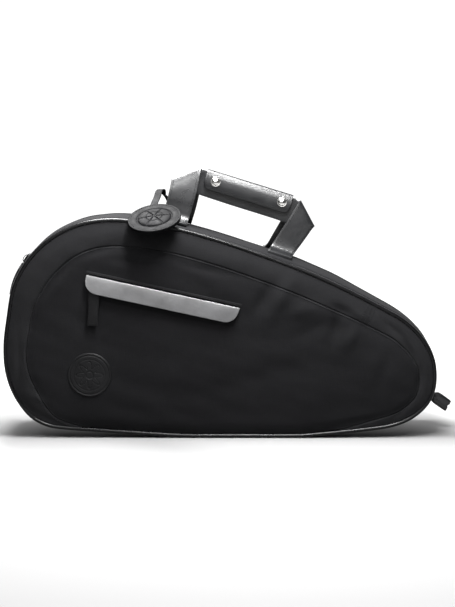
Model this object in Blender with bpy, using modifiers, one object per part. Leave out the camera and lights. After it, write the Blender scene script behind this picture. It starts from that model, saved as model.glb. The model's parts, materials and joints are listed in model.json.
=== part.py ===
"""Teardrop paddle bag: canvas shell, round piping, zipped gusset, flap pocket, snap-wrapped handle and tag.

Metres, +Z up, +X towards the toe, the front faces -Y. Origin: centre of the bounding box, on the floor.
Lengths below are millimetres; mesh_object turns them into metres.
"""

import math

import bmesh
import bpy
import numpy as np
from mathutils import Matrix, Vector

MM = 0.001
GAP = 0.3  # left between sewn or glued neighbours

# ---- the teardrop outline (X, Z), clockwise from the heel seen from the front ----
HEEL_CENTRE = (-152.0, 147.0)  # the upper heel corner is an arc about this point
HEEL_RADIUS = 129.0
HEEL_ANGLES = (177, 160, 143, 126, 109, 92)
TOP_AND_TOE = [
    (-112, 273.6), (-69, 265.5), (-12, 249.6), (42, 231), (96, 210.8), (150, 186),
    (186, 167.5), (218, 149), (240.3, 127), (253.3, 103), (257.4, 80.5), (255.2, 58.4),
    (247.5, 42), (234.4, 28.6), (219, 19.2), (200, 12.8),
]
BOTTOM = [
    (146, 5.6), (75, -0.5), (0, -1.0), (-75, 0.9), (-146, 6.3), (-212, 10.5),
    (-232, 14), (-251, 24), (-267.5, 43), (-279, 66), (-284.6, 90), (-285.4, 118),
]
STATIONS = 96  # round the outline
DEPTH_HALF = 65.0  # to each piping's centre
PIPE_R = 2.5
GUSSET_EDGE = 62.1  # half width of the gusset
GUSSET_T = 1.5
GUSSET_CROWN = 4.0
ZIP_GAP = 6.5  # half width of the slot between the two upper gusset strips
TAPE_HALF = 15.5
TAPE_T = 0.8
COIL_HALF = 3.0
COIL_T = 1.6
COIL_CROWN = 0.4

# ---- padding and base board ----
PADDING_IN = 7.0  # inset from the outline
PADDING_Y = 60.2
PADDING_T = 4.0
BOARD_HALF = (88, 54)
BOARD_Z = (4.6, 7.0)

# ---- front and back panels ----
PANEL_EDGE_IN = 5.3  # inset of the canvas edge from the outline
PANEL_EDGE_Y = 65.7
PANEL_CROWN = 6.3
CROWN_RUN = 40.0  # the crown is full this far in from the edge
CANVAS_T = 1.2
PLATEAU_Y = PANEL_EDGE_Y + PANEL_CROWN
SEAM = [  # point on the outline, inset there of the seam between border and centre panel
    ((-284, 100), 30), ((-281, 147), 32), ((-273, 191), 38), ((-243, 238), 40), ((-194, 269), 37.5),
    ((-132, 276), 35.5), ((-56, 262), 34), ((33, 234), 33.5), ((120, 200), 34), ((180, 170), 31),
    ((235, 133), 29), ((257, 86), 24), ((254, 55), 22.5), ((234, 29), 20), ((190, 10), 17),
    ((157, 7), 13), ((128, 4), 7), ((60, 0), 0), ((-100, 3), 0), ((-174, 8), 7),
    ((-206, 11), 14), ((-240, 18), 25), ((-272, 52), 31),
]
BORDER_LOW_HEEL = (-180, 8)  # where the border strip runs into the lower piping
BORDER_LOW_TOE = (132, 4.5)
BORDER_JOIN = (184, 169)  # cross seam near the toe shoulder

# ---- zip ends on the outline ----
ZIP_HEEL_END = (-280.6, 156)
ZIP_TOE_END = (257, 76)
ZIP_END_IN = 1.0  # the tape stops this far short of the lower gusset

# ---- front pocket: along the slit, from its heel end ----
POCKET_START = (-180.0, 206.5)  # upper heel corner of the flap
POCKET_ANGLE = math.radians(-12.3)
FLAP_LENGTH = 195.0
FLAP_HEIGHT = 20.0
SLIT_START = 5.0  # from the flap's heel end
SLIT_DROP = 10.0  # the slit runs this far under the flap's top edge
SLIT_LENGTH = 172.0
SLIT_HEIGHT = 8.0
POCKET_TAPE_HALF = 9.0
POCKET_TAPE_T = 0.6
POCKET_COIL_HALF = 2.0
POCKET_COIL_T = 1.2
POUCH_DEPTH = 6.0
POUCH_T = 0.7
SLIDER_AT = 11.0  # of the parked pocket slider's middle, along the flap
SLIDER_HALF = (5.0, 3.6)
SLIDER_Y = (-74.9, -72.3)
PULL_PIVOT_Y = -76.3
PULL_T = 1.9
FLAP_T = 1.8
FLAP_HINGE_Y = -74.0
FLAP_SLANT = 0.12
PULL_LENGTH = 50.0
PULL_WIDTH = 13.0

# ---- main zip's slider and pull, on the heel arc: angles and distances out from the outline ----
SLIDER_ANGLES = (143, 146, 149)
SLIDER_OUT = (3.6, 7.4)
MAIN_PULL_ANGLES = (149.6, 152, 156, 160, 164, 168)
MAIN_PULL_OUT = (4.6, 6.8)

# ---- handle frame: s along the handle, h up from the gusset line ----
HANDLE_BASE = (-69.0, 265.5)
HANDLE_ANGLE = math.radians(-17.0)
TILT_H = 28.0
STRAP_W = 32.0
STRAP_T = 3.0
STRAP_Y = 3.6
FOOT_HEEL_S = -4.5
FOOT_TOE_S = 134.0
FOOT_TOE_SINK = 1.2  # the gusset runs lower than the handle's base line at the toe foot
# y and h of a foot's line from its sewn end up to the handle; None lies flat on the gusset
FOOT_PATH = [(40, None), (24, None), (18.5, 7.5), (12.5, 14.0), (7.0, 20.5), (4.6, 26.0)]
TOE_LEAN = 0.30  # the toe leg leans outwards
BAR_LOW = 44.0
BAR_HIGH = 76.5
WRAP_START = 17.0
WRAP_END = 131.0
WRAP_T = 1.6
FLAP_LOW = 54.5
SNAP_S = (31.0, 119.3)
SNAP_H = 66.3

# ---- patch, toe loop and tag ----
PATCH_AT = (-177.3, 80.9)
PATCH_R = 28.0
LOOP_ROOT = (257.5, 0, 47.5)
LOOP_T = 5.0
TAG_CENTRE = (-95.0, -77.0, 276.5)
TAG_R = 33.0
TAG_SLOPE = math.radians(27)
TAG_ROLL = math.radians(7)


def clear_scene():
    for thing in list(bpy.data.objects):
        bpy.data.objects.remove(thing, do_unlink=True)


def collection(name):
    made = bpy.data.collections.new(name)
    bpy.context.scene.collection.children.link(made)
    return made


clear_scene()
PARTS = collection("paddle_bag")
CUTTERS = collection("cutters")
MATERIALS = {}


def material(name, colour, roughness, metallic=0.0):
    made = bpy.data.materials.new(name)
    made.use_nodes = True
    shader = made.node_tree.nodes["Principled BSDF"]
    shader.inputs["Base Color"].default_value = (*colour, 1.0)
    shader.inputs["Roughness"].default_value = roughness
    shader.inputs["Metallic"].default_value = metallic
    made.diffuse_color = (*colour, 1.0)
    MATERIALS[name] = made


material("canvas", (0.022, 0.022, 0.024), 0.85)
material("leather", (0.028, 0.028, 0.03), 0.42)
material("lining", (0.05, 0.05, 0.055), 0.9)
material("foam", (0.12, 0.12, 0.12), 0.95)
material("board", (0.08, 0.07, 0.06), 0.8)
material("zip_tape", (0.015, 0.015, 0.016), 0.8)
material("zip_coil", (0.02, 0.02, 0.022), 0.45)
material("zip_metal", (0.08, 0.08, 0.085), 0.35, 1.0)
material("nickel", (0.72, 0.71, 0.68), 0.22, 1.0)


# ---------------------------------------------------------------- building tools
def mesh_object(name, points, faces, slot, into=None):
    mesh = bpy.data.meshes.new(name)
    mesh.from_pydata([tuple(c * MM for c in p) for p in points], [], faces)
    mesh.update()
    made = bpy.data.objects.new(name, mesh)
    (into or PARTS).objects.link(made)
    if slot:
        mesh.materials.append(MATERIALS[slot])
    return made


def smooth(thing, angle=40):
    mesh = thing.data
    mesh.shade_smooth()
    mesh.set_sharp_from_angle(angle=math.radians(angle))
    return thing


def solidify(thing, thickness, offset=-1.0):
    made = thing.modifiers.new("thickness", "SOLIDIFY")
    made.thickness = thickness * MM
    made.offset = offset
    made.use_even_offset = True
    return thing


def bevel(thing, width, segments=2):
    made = thing.modifiers.new("rounded", "BEVEL")
    made.width = width * MM
    made.segments = segments
    made.limit_method = "ANGLE"
    made.angle_limit = math.radians(50)
    return thing


def grid(name, rows, slot, closed=False):
    """A surface through equally long rows of points."""
    rows = [list(map(tuple, r)) for r in rows]
    across = len(rows[0])
    points = [p for row in rows for p in row]
    faces = []
    last = across if closed else across - 1
    for r in range(len(rows) - 1):
        for c in range(last):
            d = (c + 1) % across
            faces.append((r * across + c, r * across + d, (r + 1) * across + d, (r + 1) * across + c))
    return mesh_object(name, points, faces, slot)


def lathe(name, profile, slot, at, axis, steps=24):
    """Turns (radius, height) pairs about an axis; the axis is local +Z through at."""
    points = [(r, 0.0, z) for r, z in profile]
    edges = [(i, i + 1) for i in range(len(points) - 1)]
    mesh = bpy.data.meshes.new(name)
    mesh.from_pydata([tuple(c * MM for c in p) for p in points], edges, [])
    made = bpy.data.objects.new(name, mesh)
    PARTS.objects.link(made)
    mesh.materials.append(MATERIALS[slot])
    turn = made.modifiers.new("turn", "SCREW")
    turn.axis = "Z"
    turn.steps = steps
    turn.render_steps = steps
    turn.use_merge_vertices = True
    turn.merge_threshold = 0.00005
    turn.use_smooth_shade = True
    z = Vector(axis).normalized()
    x = Vector((0, 0, 1)).cross(z)
    x = x.normalized() if x.length > 0.01 else Vector((1, 0, 0))
    y = z.cross(x)
    made.matrix_world = Matrix.Translation(Vector(at) * MM) @ Matrix((x, y, z)).transposed().to_4x4()
    return made


def plate(name, outline, slot, frame, thickness, round_by=0.0):
    """A flat plate: outline in the frame's own plane, thickness along its third axis, centred."""
    origin, u, v = (Vector(x) for x in frame)
    points = [tuple(origin + u * a + v * b) for a, b in outline]
    made = mesh_object(name, points, [tuple(range(len(points)))], slot)
    solidify(made, thickness, 0.0)
    if round_by:
        bevel(made, round_by)
    return made


def box(name, lo, hi, slot, into=None):
    points = [(x, y, z) for x in (lo[0], hi[0]) for y in (lo[1], hi[1]) for z in (lo[2], hi[2])]
    faces = [(0, 1, 3, 2), (4, 6, 7, 5), (0, 4, 5, 1), (2, 3, 7, 6), (0, 2, 6, 4), (1, 5, 7, 3)]
    return mesh_object(name, points, faces, slot, into)


def set_origin(thing, at):
    """Moves the object's origin to a point of its joint axis; the shape stays where it is."""
    shift = Matrix.Translation(Vector(at) * MM)
    thing.data.transform(shift.inverted() @ thing.matrix_world)
    thing.matrix_world = shift
    return thing


# ---------------------------------------------------------------- outline
def closed_spline(points, per_span):
    """Points of a smooth closed curve through the given points (centripetal Catmull-Rom)."""
    made = []
    count = len(points)
    for i in range(count):
        p = [np.array(points[(i + k - 1) % count], float) for k in range(4)]
        t = [0.0]
        for k in range(3):
            t.append(t[-1] + math.sqrt(np.linalg.norm(p[k + 1] - p[k])))
        for step in range(per_span):
            x = t[1] + (t[2] - t[1]) * step / per_span
            a = [((t[k + 1] - x) * p[k] + (x - t[k]) * p[k + 1]) / (t[k + 1] - t[k]) for k in range(3)]
            b = [((t[k + 2] - x) * a[k] + (x - t[k]) * a[k + 1]) / (t[k + 2] - t[k]) for k in range(2)]
            made.append(((t[2] - x) * b[0] + (x - t[1]) * b[1]) / (t[2] - t[1]))
    return np.array(made)


def outline_stations():
    """Outline points with outward normals; corners get more stations than straight runs."""
    arc = []
    for degrees in HEEL_ANGLES:
        a = math.radians(degrees)
        x = HEEL_CENTRE[0] + HEEL_RADIUS * math.cos(a)
        arc.append((x, HEEL_CENTRE[1] + HEEL_RADIUS * math.sin(a)))
    fine = closed_spline(arc + TOP_AND_TOE + BOTTOM, 24)
    fine[:, 1] = np.maximum(fine[:, 1], 0.0)  # a flat stretch to stand on
    step = np.roll(fine, -1, 0) - fine
    length = np.linalg.norm(step, axis=1)
    heading = np.unwrap(np.arctan2(step[:, 1], step[:, 0]))
    turn = np.abs(np.diff(np.append(heading, heading[0] - 2 * math.pi)))
    weight = length / 40.0 + np.degrees(turn) / 7.0
    cumulative = np.concatenate([[0.0], np.cumsum(weight)])
    at = np.arange(STATIONS) * cumulative[-1] / STATIONS
    looped = np.vstack([fine, fine[:1]])
    points = np.stack([np.interp(at, cumulative, looped[:, k]) for k in range(2)], 1)
    points[points[:, 1] < 0.05, 1] = 0.0
    tangent = np.roll(points, -1, 0) - np.roll(points, 1, 0)
    tangent /= np.linalg.norm(tangent, axis=1)[:, None]
    normal = np.stack([-tangent[:, 1], tangent[:, 0]], 1)
    return points, normal


OUTLINE, OUTWARD = outline_stations()


def nearest_station(point):
    return int(np.argmin(np.linalg.norm(OUTLINE - np.array(point, float), axis=1)))


def stations_between(start, end):
    """Station numbers from one outline point to another, clockwise, ends included."""
    a, b = nearest_station(start), nearest_station(end)
    count = (b - a) % STATIONS
    return [(a + k) % STATIONS for k in range(count + 1)]


def offset_point(i, out, y):
    x, z = OUTLINE[i] + OUTWARD[i] * out
    return (x, y, z)


def seam_insets():
    """Inset of the border seam at each station."""
    keys = sorted((nearest_station(p), inset) for p, inset in SEAM)
    at = [k for k, _ in keys]
    value = [v for _, v in keys]
    at = [at[-1] - STATIONS] + at + [at[0] + STATIONS]
    value = [value[-1]] + value + [value[0]]
    return np.interp(np.arange(STATIONS), at, value)


SEAM_IN = seam_insets()


def crown_y(inset):
    run = min(1.0, max(0.0, (inset - PANEL_EDGE_IN) / CROWN_RUN))
    return PANEL_EDGE_Y + PANEL_CROWN * math.sin(run * math.pi / 2)


def gusset_out(y):
    return -1.0 + GUSSET_CROWN * (1.0 - (y / GUSSET_EDGE) ** 2)


# ---------------------------------------------------------------- shell
def panel_from_rows(name, insets_by_row, side, slot, thickness):
    """A closed panel: rings of stations at the given insets, capped flat in the middle."""
    rows = []
    for insets in insets_by_row:
        rows.append([offset_point(i, -insets[i], side * crown_y(insets[i])) for i in range(STATIONS)])
    made = grid(name, rows, slot, closed=True)
    bm = bmesh.new()
    bm.from_mesh(made.data)
    bm.verts.ensure_lookup_table()
    first = (len(rows) - 1) * STATIONS
    bm.faces.new([bm.verts[first + k] for k in range(STATIONS)])
    bmesh.ops.recalc_face_normals(bm, faces=bm.faces)
    bm.to_mesh(made.data)
    bm.free()
    face_outward(made, side)
    solidify(made, thickness)
    return smooth(made)


def face_outward(thing, side):
    """Turns the surface so that its faces look towards side * Y."""
    total = sum(f.normal.y * f.area for f in thing.data.polygons)
    if total * side < 0:
        thing.data.flip_normals()


def trim_ends(rows, by):
    """Draws the first and last rows in by a little, so that neighbouring bands don't touch."""
    for end, inside in ((0, 1), (-1, -2)):
        a, b = np.array(rows[end]), np.array(rows[inside])
        step = b - a
        share = by / np.linalg.norm(step, axis=1).mean()
        rows[end] = [tuple(p) for p in a + step * share]
    return rows


def strip_along(name, numbers, profile, slot, thickness, side=0, trim=GAP / 2):
    """A band along part of the outline: profile is (outward offset, y) pairs."""
    rows = [[offset_point(i, out, y) for out, y in profile] for i in numbers]
    rows = trim_ends(rows, trim)
    made = grid(name, rows, slot)
    middle = made.data.polygons[len(made.data.polygons) // 2]
    i = numbers[len(numbers) // 2]
    want = Vector((OUTWARD[i][0], side * 3.0, OUTWARD[i][1]))
    if middle.normal.dot(want) < 0:
        made.data.flip_normals()
    solidify(made, thickness)
    return smooth(made)


def build_front():
    inner = np.maximum(SEAM_IN, PANEL_EDGE_IN) + GAP / 2
    plateau = np.maximum(inner + 3.0, PANEL_EDGE_IN + CROWN_RUN)
    middle = (inner + plateau) / 2
    panel = panel_from_rows("front_centre_panel", [inner, middle, plateau], -1, "canvas", CANVAS_T)
    cut_slit(panel)
    numbers = stations_between(BORDER_LOW_HEEL, BORDER_JOIN)
    border_piece("front_border_long", numbers)
    numbers = stations_between(BORDER_JOIN, BORDER_LOW_TOE)
    border_piece("front_border_toe", numbers, start_gap=True)


def border_piece(name, numbers, start_gap=False):
    rows = []
    for place, i in enumerate(numbers):
        last = max(SEAM_IN[i] - GAP / 2, PANEL_EDGE_IN + 1.0)
        insets = [PANEL_EDGE_IN + (last - PANEL_EDGE_IN) * f for f in (0.0, 0.33, 0.66, 1.0)]
        row = [offset_point(i, -d, -crown_y(d)) for d in insets]
        if start_gap and place == 0:
            ahead = [offset_point(numbers[1], -d, -crown_y(d)) for d in insets]
            row = [tuple(np.array(p) + 0.03 * (np.array(q) - np.array(p))) for p, q in zip(row, ahead)]
        rows.append(row)
    made = grid(name, rows, "canvas")
    face_outward(made, -1)
    solidify(made, CANVAS_T)
    return smooth(made)


def build_back():
    edge = np.full(STATIONS, PANEL_EDGE_IN)
    rings = [edge, edge + CROWN_RUN * 0.4, edge + CROWN_RUN]
    panel_from_rows("back_panel", rings, 1, "canvas", CANVAS_T)


def build_piping():
    sides = 6
    for name, y in (("front_piping", -DEPTH_HALF), ("back_piping", DEPTH_HALF)):
        rows = []
        for i in range(STATIONS):
            ring = []
            for k in range(sides):
                a = 2 * math.pi * k / sides
                ring.append(offset_point(i, -PIPE_R + PIPE_R * math.cos(a), y + PIPE_R * math.sin(a)))
            rows.append(ring)
        points = [p for ring in rows for p in ring]
        faces = []
        for i in range(STATIONS):
            j = (i + 1) % STATIONS
            for k in range(sides):
                n = (k + 1) % sides
                faces.append((i * sides + k, i * sides + n, j * sides + n, j * sides + k))
        made = mesh_object(name, points, faces, "leather")
        face_out_of_tube(made, rows)
        smooth(made, 75)


def face_out_of_tube(thing, rows):
    centre = Vector(tuple(np.mean(np.array(rows[0]), 0) * MM))
    first = thing.data.polygons[0]
    if first.normal.dot(first.center - centre) < 0:
        thing.data.flip_normals()


def build_gusset():
    lower = [(0.0 if abs(y) < GUSSET_EDGE else -0.6, y) for y in (-GUSSET_EDGE, -50, 0, 50, GUSSET_EDGE)]
    strip_along("gusset_bottom", stations_between(ZIP_TOE_END, ZIP_HEEL_END), lower, "canvas", GUSSET_T)
    upper_run = stations_between(ZIP_HEEL_END, ZIP_TOE_END)
    for name, side in (("gusset_top_front", -1), ("gusset_top_rear", 1)):
        across = [(gusset_out(side * y), side * y) for y in (GUSSET_EDGE, 48, 30, ZIP_GAP)]
        strip_along(name, upper_run, across, "canvas", GUSSET_T)
    under = gusset_out(TAPE_HALF) - GUSSET_T - GAP
    tape = [(under, -TAPE_HALF), (under, TAPE_HALF)]
    strip_along("zip_tape", upper_run, tape, "zip_tape", TAPE_T, trim=ZIP_END_IN)
    top = under + GAP + COIL_T
    coil = [(top, -COIL_HALF), (top + COIL_CROWN, 0.0), (top, COIL_HALF)]
    strip_along("zip_coil", upper_run, coil, "zip_coil", COIL_T, trim=ZIP_END_IN + 2)


def build_padding():
    for name, y in (("front_padding", -PADDING_Y), ("back_padding", PADDING_Y)):
        points = [offset_point(i, -PADDING_IN, y) for i in range(0, STATIONS, 2)]
        made = mesh_object(name, points, [tuple(range(len(points)))], "foam")
        solidify(made, PADDING_T, 0.0)
    x, y = BOARD_HALF
    box("base_board", (-x, -y, BOARD_Z[0]), (x, y, BOARD_Z[1]), "board")


# ---------------------------------------------------------------- pocket
ALONG = Vector((math.cos(POCKET_ANGLE), 0, math.sin(POCKET_ANGLE)))
DOWN = Vector((math.sin(POCKET_ANGLE), 0, -math.cos(POCKET_ANGLE)))


def pocket_point(u, w, y):
    """u along the flap from its heel end, w down from its top edge."""
    p = Vector((POCKET_START[0], 0, POCKET_START[1])) + ALONG * u + DOWN * w
    return (p.x, y, p.z)


def pocket_box(name, u, w, y, slot, into=None):
    points = [pocket_point(a, b, c) for a in u for b in w for c in y]
    faces = [(0, 1, 3, 2), (4, 6, 7, 5), (0, 4, 5, 1), (2, 3, 7, 6), (0, 2, 6, 4), (1, 5, 7, 3)]
    made = mesh_object(name, points, faces, slot, into)
    bm = bmesh.new()
    bm.from_mesh(made.data)
    bmesh.ops.recalc_face_normals(bm, faces=bm.faces)
    bm.to_mesh(made.data)
    bm.free()
    return made


def cut_slit(panel):
    u = (SLIT_START, SLIT_START + SLIT_LENGTH)
    w = (SLIT_DROP - SLIT_HEIGHT / 2, SLIT_DROP + SLIT_HEIGHT / 2)
    cutter = pocket_box("slit_cutter", u, w, (-PLATEAU_Y - 5, -PLATEAU_Y + 5), None, CUTTERS)
    cutter.hide_render = True
    cutter.display_type = "WIRE"
    cut = panel.modifiers.new("slit", "BOOLEAN")
    cut.operation = "DIFFERENCE"
    cut.solver = "EXACT"
    cut.object = cutter


def build_pocket():
    back = -(PLATEAU_Y - CANVAS_T - GAP)
    tape_u = (SLIT_START - 4, SLIT_START + SLIT_LENGTH + 4)
    tape_w = (SLIT_DROP - POCKET_TAPE_HALF, SLIT_DROP + POCKET_TAPE_HALF)
    pocket_box("pocket_zip_tape", tape_u, tape_w, (back, back + POCKET_TAPE_T), "zip_tape")
    coil_u = (SLIT_START + 1, SLIT_START + SLIT_LENGTH - 1)
    coil_w = (SLIT_DROP - POCKET_COIL_HALF, SLIT_DROP + POCKET_COIL_HALF)
    pocket_box("pocket_zip_coil", coil_u, coil_w, (back - POCKET_COIL_T - GAP, back - GAP), "zip_coil")
    build_pouch(back + POCKET_TAPE_T + GAP)
    build_flap()
    build_pocket_slider()


def build_pouch(front_y):
    """A shallow tray of lining behind the slit, open to the front where the panel closes it."""
    deep = front_y + POUCH_DEPTH
    rim = [(-2, 0), (186, 0), (182, 112), (8, 120)]
    floor = [(3, 5), (181, 5), (176, 107), (13, 115)]
    points = [pocket_point(u, w, front_y) for u, w in rim] + [pocket_point(u, w, deep) for u, w in floor]
    faces = [(0, 1, 5, 4), (1, 2, 6, 5), (2, 3, 7, 6), (3, 0, 4, 7), (4, 5, 6, 7)]
    made = mesh_object("pocket_pouch", points, faces, "lining")
    face_outward(made, -1)
    solidify(made, POUCH_T)


def build_flap():
    """Leather flap over the slit: rises off the panel at its top edge and stands clear of the slider."""
    profile = [(0.0, -74.2), (1.6, -77.6), (4.0, -79.6), (FLAP_HEIGHT * 0.6, -80.4), (FLAP_HEIGHT, -80.6)]
    # along the flap, share of its height there (rounded lower corners), slant of its ends
    cuts = [
        (0, 0.62, FLAP_SLANT), (3, 0.86, FLAP_SLANT), (9, 1.0, FLAP_SLANT), (FLAP_LENGTH / 2, 1.0, 0.0),
        (FLAP_LENGTH - 10, 1.0, -FLAP_SLANT), (FLAP_LENGTH - 4, 0.86, -FLAP_SLANT),
        (FLAP_LENGTH, 0.55, -FLAP_SLANT),
    ]
    rows = []
    for u, share, slant in cuts:
        rows.append([pocket_point(u + w * slant, w * share, y) for w, y in profile])
    made = grid("pocket_flap", rows, "leather")
    face_outward(made, -1)
    solidify(made, FLAP_T)
    smooth(made)
    set_origin(made, pocket_point(0, 0, FLAP_HINGE_Y))


def build_pocket_slider():
    u, w = SLIDER_AT, SLIT_DROP
    du, dw = SLIDER_HALF
    body = pocket_box("pocket_slider", (u - du, u + du), (w - dw, w + dw), SLIDER_Y, "zip_metal")
    bevel(body, 0.6, 1)
    set_origin(body, pocket_point(u, w, sum(SLIDER_Y) / 2))
    pivot = Vector(pocket_point(u, w + 1.0, PULL_PIVOT_Y))
    half = PULL_WIDTH / 2
    outline = [
        (-3, 3), (3, 3), (3.4, -5), (half, -9), (half, -PULL_LENGTH + 2), (half - 2, -PULL_LENGTH),
        (2 - half, -PULL_LENGTH), (-half, -PULL_LENGTH + 2), (-half, -9), (-3.4, -5),
    ]
    pull = plate("pocket_pull", outline, "leather", (pivot, (1, 0, 0), (0, 0, 1)), PULL_T, 0.4)
    set_origin(pull, tuple(pivot))


# ---------------------------------------------------------------- main zip slider
def arc_point(angle_deg, out, y):
    a = math.radians(angle_deg)
    r = HEEL_RADIUS + out
    return (HEEL_CENTRE[0] + r * math.cos(a), y, HEEL_CENTRE[1] + r * math.sin(a))


def arc_block(name, angles, outs, half_y, slot, round_by):
    """A block bent along the heel arc."""
    rows = [[arc_point(a, outs[0], -half_y), arc_point(a, outs[0], half_y)] for a in angles]
    made = grid(name, rows, slot)
    outward = Vector(arc_point(angles[0], 1.0, 0)) - Vector(arc_point(angles[0], 0.0, 0))
    if made.data.polygons[0].normal.dot(outward) > 0:
        made.data.flip_normals()
    solidify(made, outs[1] - outs[0])
    return bevel(made, round_by, 1)


def build_main_slider():
    slider = arc_block("main_slider", SLIDER_ANGLES, SLIDER_OUT, 5.5, "zip_metal", 0.8)
    set_origin(slider, (HEEL_CENTRE[0], 0, HEEL_CENTRE[1]))
    pull = arc_block("main_pull", MAIN_PULL_ANGLES, MAIN_PULL_OUT, 6.5, "leather", 0.5)
    set_origin(pull, arc_point(MAIN_PULL_ANGLES[0], sum(MAIN_PULL_OUT) / 2, 0))


# ---------------------------------------------------------------- handle
S_DIR = Vector((math.cos(HANDLE_ANGLE), 0, math.sin(HANDLE_ANGLE)))
H_DIR = Vector((-math.sin(HANDLE_ANGLE), 0, math.cos(HANDLE_ANGLE)))


def handle_point(s, y, h):
    p = Vector((HANDLE_BASE[0], 0, HANDLE_BASE[1])) + S_DIR * s + H_DIR * h
    return (p.x, y, p.z)


def build_feet():
    """Each strap end lies sewn on the gusset, then bends up and in towards the handle."""
    half = STRAP_W / 2
    ends = (("heel", FOOT_HEEL_S, 0.0, 0.0), ("toe", FOOT_TOE_S, TOE_LEAN, FOOT_TOE_SINK))
    for end, s_mid, lean, sink in ends:
        for name, side in (("front", -1), ("rear", 1)):
            rows = []
            for y, h in FOOT_PATH:
                if h is None:
                    h = gusset_out(y) + GAP + STRAP_T / 2 - sink + 0.35
                s = s_mid + lean * h
                rows.append([handle_point(s + across, side * y, h) for across in (-half, 0.0, half)])
            made = grid(f"{name}_strap_foot_{end}", rows, "leather")
            solidify(made, STRAP_T, 0.0)
            smooth(made, 50)


def strap_outline():
    """The upper strap seen square on: two legs and the bar, with mitred corners."""
    low = TILT_H + 4
    half = STRAP_W / 2
    heel_in = FOOT_HEEL_S + half
    heel_out = FOOT_HEEL_S - half
    toe_in = FOOT_TOE_S - half
    toe_out = FOOT_TOE_S + half
    return [
        (heel_out, low), (heel_in, low), (heel_in - 1.0, BAR_LOW - 1), (heel_in + 1.0, BAR_LOW),
        (toe_in + TOE_LEAN * BAR_LOW - 1, BAR_LOW), (toe_in + TOE_LEAN * (BAR_LOW - 2), BAR_LOW - 2),
        (toe_in + TOE_LEAN * low, low), (toe_out + TOE_LEAN * low, low),
        (166.0, 47.3), (140.0, BAR_HIGH), (8.1, BAR_HIGH), (heel_out - 1.5, 52.6),
    ]


def build_handle():
    axis = handle_point(65, 0, TILT_H)
    for name, y in (("front_strap", -STRAP_Y), ("rear_strap", STRAP_Y)):
        made = plate(name, strap_outline(), "leather", (handle_point(0, y, 0), S_DIR, H_DIR), STRAP_T, 0.5)
        set_origin(made, axis)
    outer = STRAP_Y + STRAP_T / 2
    back_y = outer + GAP
    top = BAR_HIGH + WRAP_T + GAP
    profile = [
        (back_y + WRAP_T, BAR_LOW + 1), (back_y + WRAP_T, BAR_HIGH + 0.2),
        (back_y + 0.4, top), (-outer - 0.6, top),
    ]
    rows = [[handle_point(s, y, h) for y, h in profile] for s in (WRAP_START, WRAP_END)]
    wrap = grid("grip_wrap", rows, "leather")
    if wrap.data.polygons[0].normal.y < 0:
        wrap.data.flip_normals()
    solidify(wrap, WRAP_T)
    set_origin(wrap, axis)
    for name, s in (("snap_stud_heel", SNAP_S[0]), ("snap_stud_toe", SNAP_S[1])):
        at = handle_point(s, -outer - GAP, SNAP_H)
        stud = [(0, 1.5), (1.6, 1.5), (2.2, 1.0), (3.8, 0.6), (3.8, 0), (0, 0)]
        lathe(name, stud, "nickel", at, (0, -1, 0), 16)
    build_wrap_flap(outer)


def build_wrap_flap(outer):
    flap_y = -outer - GAP - 1.5 - GAP - 1.0
    low, high = FLAP_LOW, BAR_HIGH + 1.2
    corner = 6.0
    arc = [(1 - math.sin(a), 1 - math.cos(a)) for a in (0, math.pi / 6, math.pi / 3, math.pi / 2)]
    outline = [(WRAP_END, high), (WRAP_START, high)]
    outline += [(WRAP_START + corner * x, low + corner * z) for z, x in arc]
    outline += [(WRAP_END - corner * x, low + corner * z) for x, z in arc]
    made = plate("grip_flap", outline, "leather", (handle_point(0, flap_y, 0), S_DIR, H_DIR), 2.0, 0.4)
    set_origin(made, handle_point(65, flap_y, high))
    for name, s in (("snap_cap_heel", SNAP_S[0]), ("snap_cap_toe", SNAP_S[1])):
        at = handle_point(s, flap_y - 1.0 - GAP, SNAP_H)
        cap = [(0, 2.1), (2.8, 1.8), (5.0, 1.1), (6.2, 0.3), (6.2, 0), (0, 0)]
        lathe(name, cap, "nickel", at, (0, -1, 0), 20)


# ---------------------------------------------------------------- patch, toe loop, tag
def build_patch():
    profile = [
        (0, 1.8), (23.6, 1.8), (24.4, 1.4), (25.2, 1.8), (27.4, 1.8),
        (PATCH_R, 1.2), (PATCH_R, 0), (0, 0),
    ]
    lathe("round_patch", profile, "leather", (PATCH_AT[0], -PLATEAU_Y - GAP, PATCH_AT[1]), (0, -1, 0), 32)


def build_toe_loop():
    """A folded leather loop sewn to the gusset at the toe, hanging out and down."""
    out = Vector((0.83, 0, -0.557))
    across = Vector((0.557, 0, 0.83))
    outline = [(0, -8), (25, -8), (29, -7), (30.5, -4), (30.5, 4), (29, 7), (25, 8), (0, 8)]
    plate("toe_loop", outline, "leather", (Vector(LOOP_ROOT) + out * 1.2, out, across), LOOP_T, 0.9)


def tag_frame():
    """Right, up-slope and normal of the resting tag."""
    normal = Vector((-math.sin(TAG_ROLL), -math.sin(TAG_SLOPE), math.cos(TAG_SLOPE))).normalized()
    right = Vector((math.cos(TAG_ROLL), 0, math.sin(TAG_ROLL)))
    right = (right - normal * right.dot(normal)).normalized()
    up = normal.cross(right)
    return right, up, normal


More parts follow.
